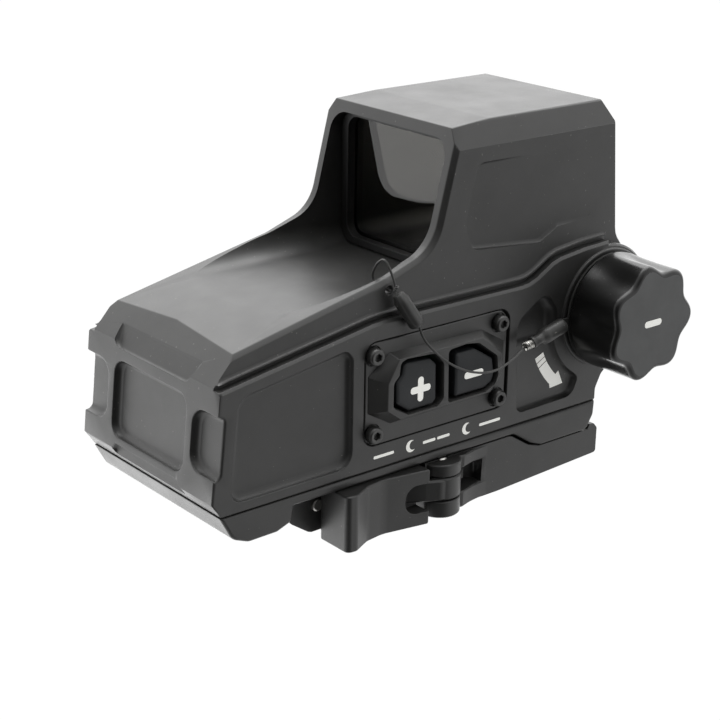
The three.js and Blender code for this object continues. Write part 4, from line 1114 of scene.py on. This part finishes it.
def sleeve(ends, name, body, node, profile, squareness):
    """A shrunk sleeve: profile gives its radius along it, and its section is a little square."""
    start, end = Vector(ends[0]), Vector(ends[1])
    along = (end - start).normalized()
    across = along.cross(Vector((0, 0, 1))).normalized()
    side = along.cross(across)
    length = (end - start).length
    rings = []
    for share, swell in profile:
        centre = start + along * length * share
        points = []
        for t in (2 * math.pi * k / 28 for k in range(28)):
            bulge = 1 - squareness * (1 - abs(math.cos(2 * t))) * 0.5 + 0.03 * math.sin(3 * t + 9 * share)
            points.append(centre + (across * math.cos(t) + side * math.sin(t)) * ends[2] * swell * bulge)
        rings.append(points)
    skin = loft(rings)
    return place(finished(skin, 0, 50), name, HEAT_SHRINK, body, "heat_shrink", node)


def twist(name, at, along, body, finish, length, radius, strand):
    """Bare wire ends twisted together where they leave a sleeve."""
    axis = Vector(along).normalized()
    across = axis.orthogonal().normalized()
    side = axis.cross(across)
    strands = []
    for start in (0, math.pi):
        path = []
        for k in range(25):
            t = start + 4 * math.pi * k / 24
            hub = Vector(at) + axis * (length * k / 24)
            path.append(hub + (across * math.cos(t) + side * math.sin(t)) * radius)
        strands.append(hose(path, strand, 8))
    fuse(strands[0], strands[1])
    place(finished(strands[0], 0), name, finish, body, "bright_steel")


def lanyard():
    anchor = hose(smooth_path(LOOP), WIRE, 12)
    place(finished(anchor, 0), "anchor_loop", COATED_WIRE, "housing", "coated_wire", "lanyard_loop")
    path = smooth_path(ROUTE, 6)
    wire = finished(hose(path, WIRE, 12), 0)
    wire.name = "lanyard_wire_piece"
    wire.data.name = wire.name
    wire.data.materials.append(COATED_WIRE)
    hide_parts("lanyard_wire")
    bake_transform(wire)
    rear = [(0, 0.62), (0.03, 0.74), (0.1, 0.82), (0.18, 1.0), (0.3, 1.0), (0.55, 0.97), (0.8, 1.0),
            (0.93, 0.99), (0.98, 0.86), (1, 0.6)]
    front = [(0, 0.55), (0.015, 0.72), (0.09, 0.74), (0.12, 0.6), (0.28, 0.66), (0.33, 0.72), (0.38, 1.0),
             (0.5, 1.02), (0.75, 0.97), (0.93, 1.0), (0.97, 0.92), (1, 0.7)]
    sleeve_rear = sleeve(REAR_SLEEVE, "sleeve_rear", "housing", "lanyard_sleeve_rear", rear, 0.28)
    sleeve_front = sleeve(FRONT_SLEEVE, "sleeve_front", "tether_ring", "lanyard_sleeve_front", front, 0.12)
    twist("wire_twist_rear", (43.3, -22.9, 36.4), (0.3, -0.25, 0.9), "housing", COATED_WIRE, 1.5, 0.26, 0.16)
    twist("wire_twist_front", (78.6, -26.0, 19.2), (-0.96, -0.12, 0.0), "tether_ring", BRIGHT_STEEL, 2.4,
          0.72, 0.27)


# ---- the rest ----
def window_frame():
    """The black frame around the rear window's glass."""
    fit = box(-INNER_HALF + 0.3, DISH_FLOOR + 0.3, INNER_HALF - 0.3, TUNNEL_TOP - 0.3, 3.6)
    view = box(-15.7, DISH_FLOOR + 1.9, 15.7, TUNNEL_TOP - 1.1, 3)
    seal = cut(stack(fit, "x", plain(WINDOW_X - 2.3, WINDOW_X - 0.3)),
               stack(view, "x", plain(WINDOW_X - 5, WINDOW_X + 1)))
    place(finished(seal, 0.1), "window_frame", SEAL_RUBBER, "housing", "seal_rubber", "window_bezel")


def dress_nodes():
    """Finishes for the CAD nodes that stay as they are."""
    slots = {part["node"]: part["material_slot"] for part in frame["record"]["subparts"]}
    for name, node in frame["nodes"].items():
        node.data.materials.clear()
        node.data.materials.append(NODE_FINISH[slots[name]])


def floor_and_light():
    studio(look())


floor_and_light()
lanyard()
dress_nodes()
housing_shell()
cover_shell()
keypad_frame()
rubber_button("plus_pad", "plus_button", "plus_key", PLUS)
rubber_button("minus_pad", "minus_button", "minus_key", MINUS)
symbols()
wall_marks()
turn_arrow()
screws()
battery_cap()
mount_plate()
throw_lever()
foot_stud()
pivot_pin()
window_frame()
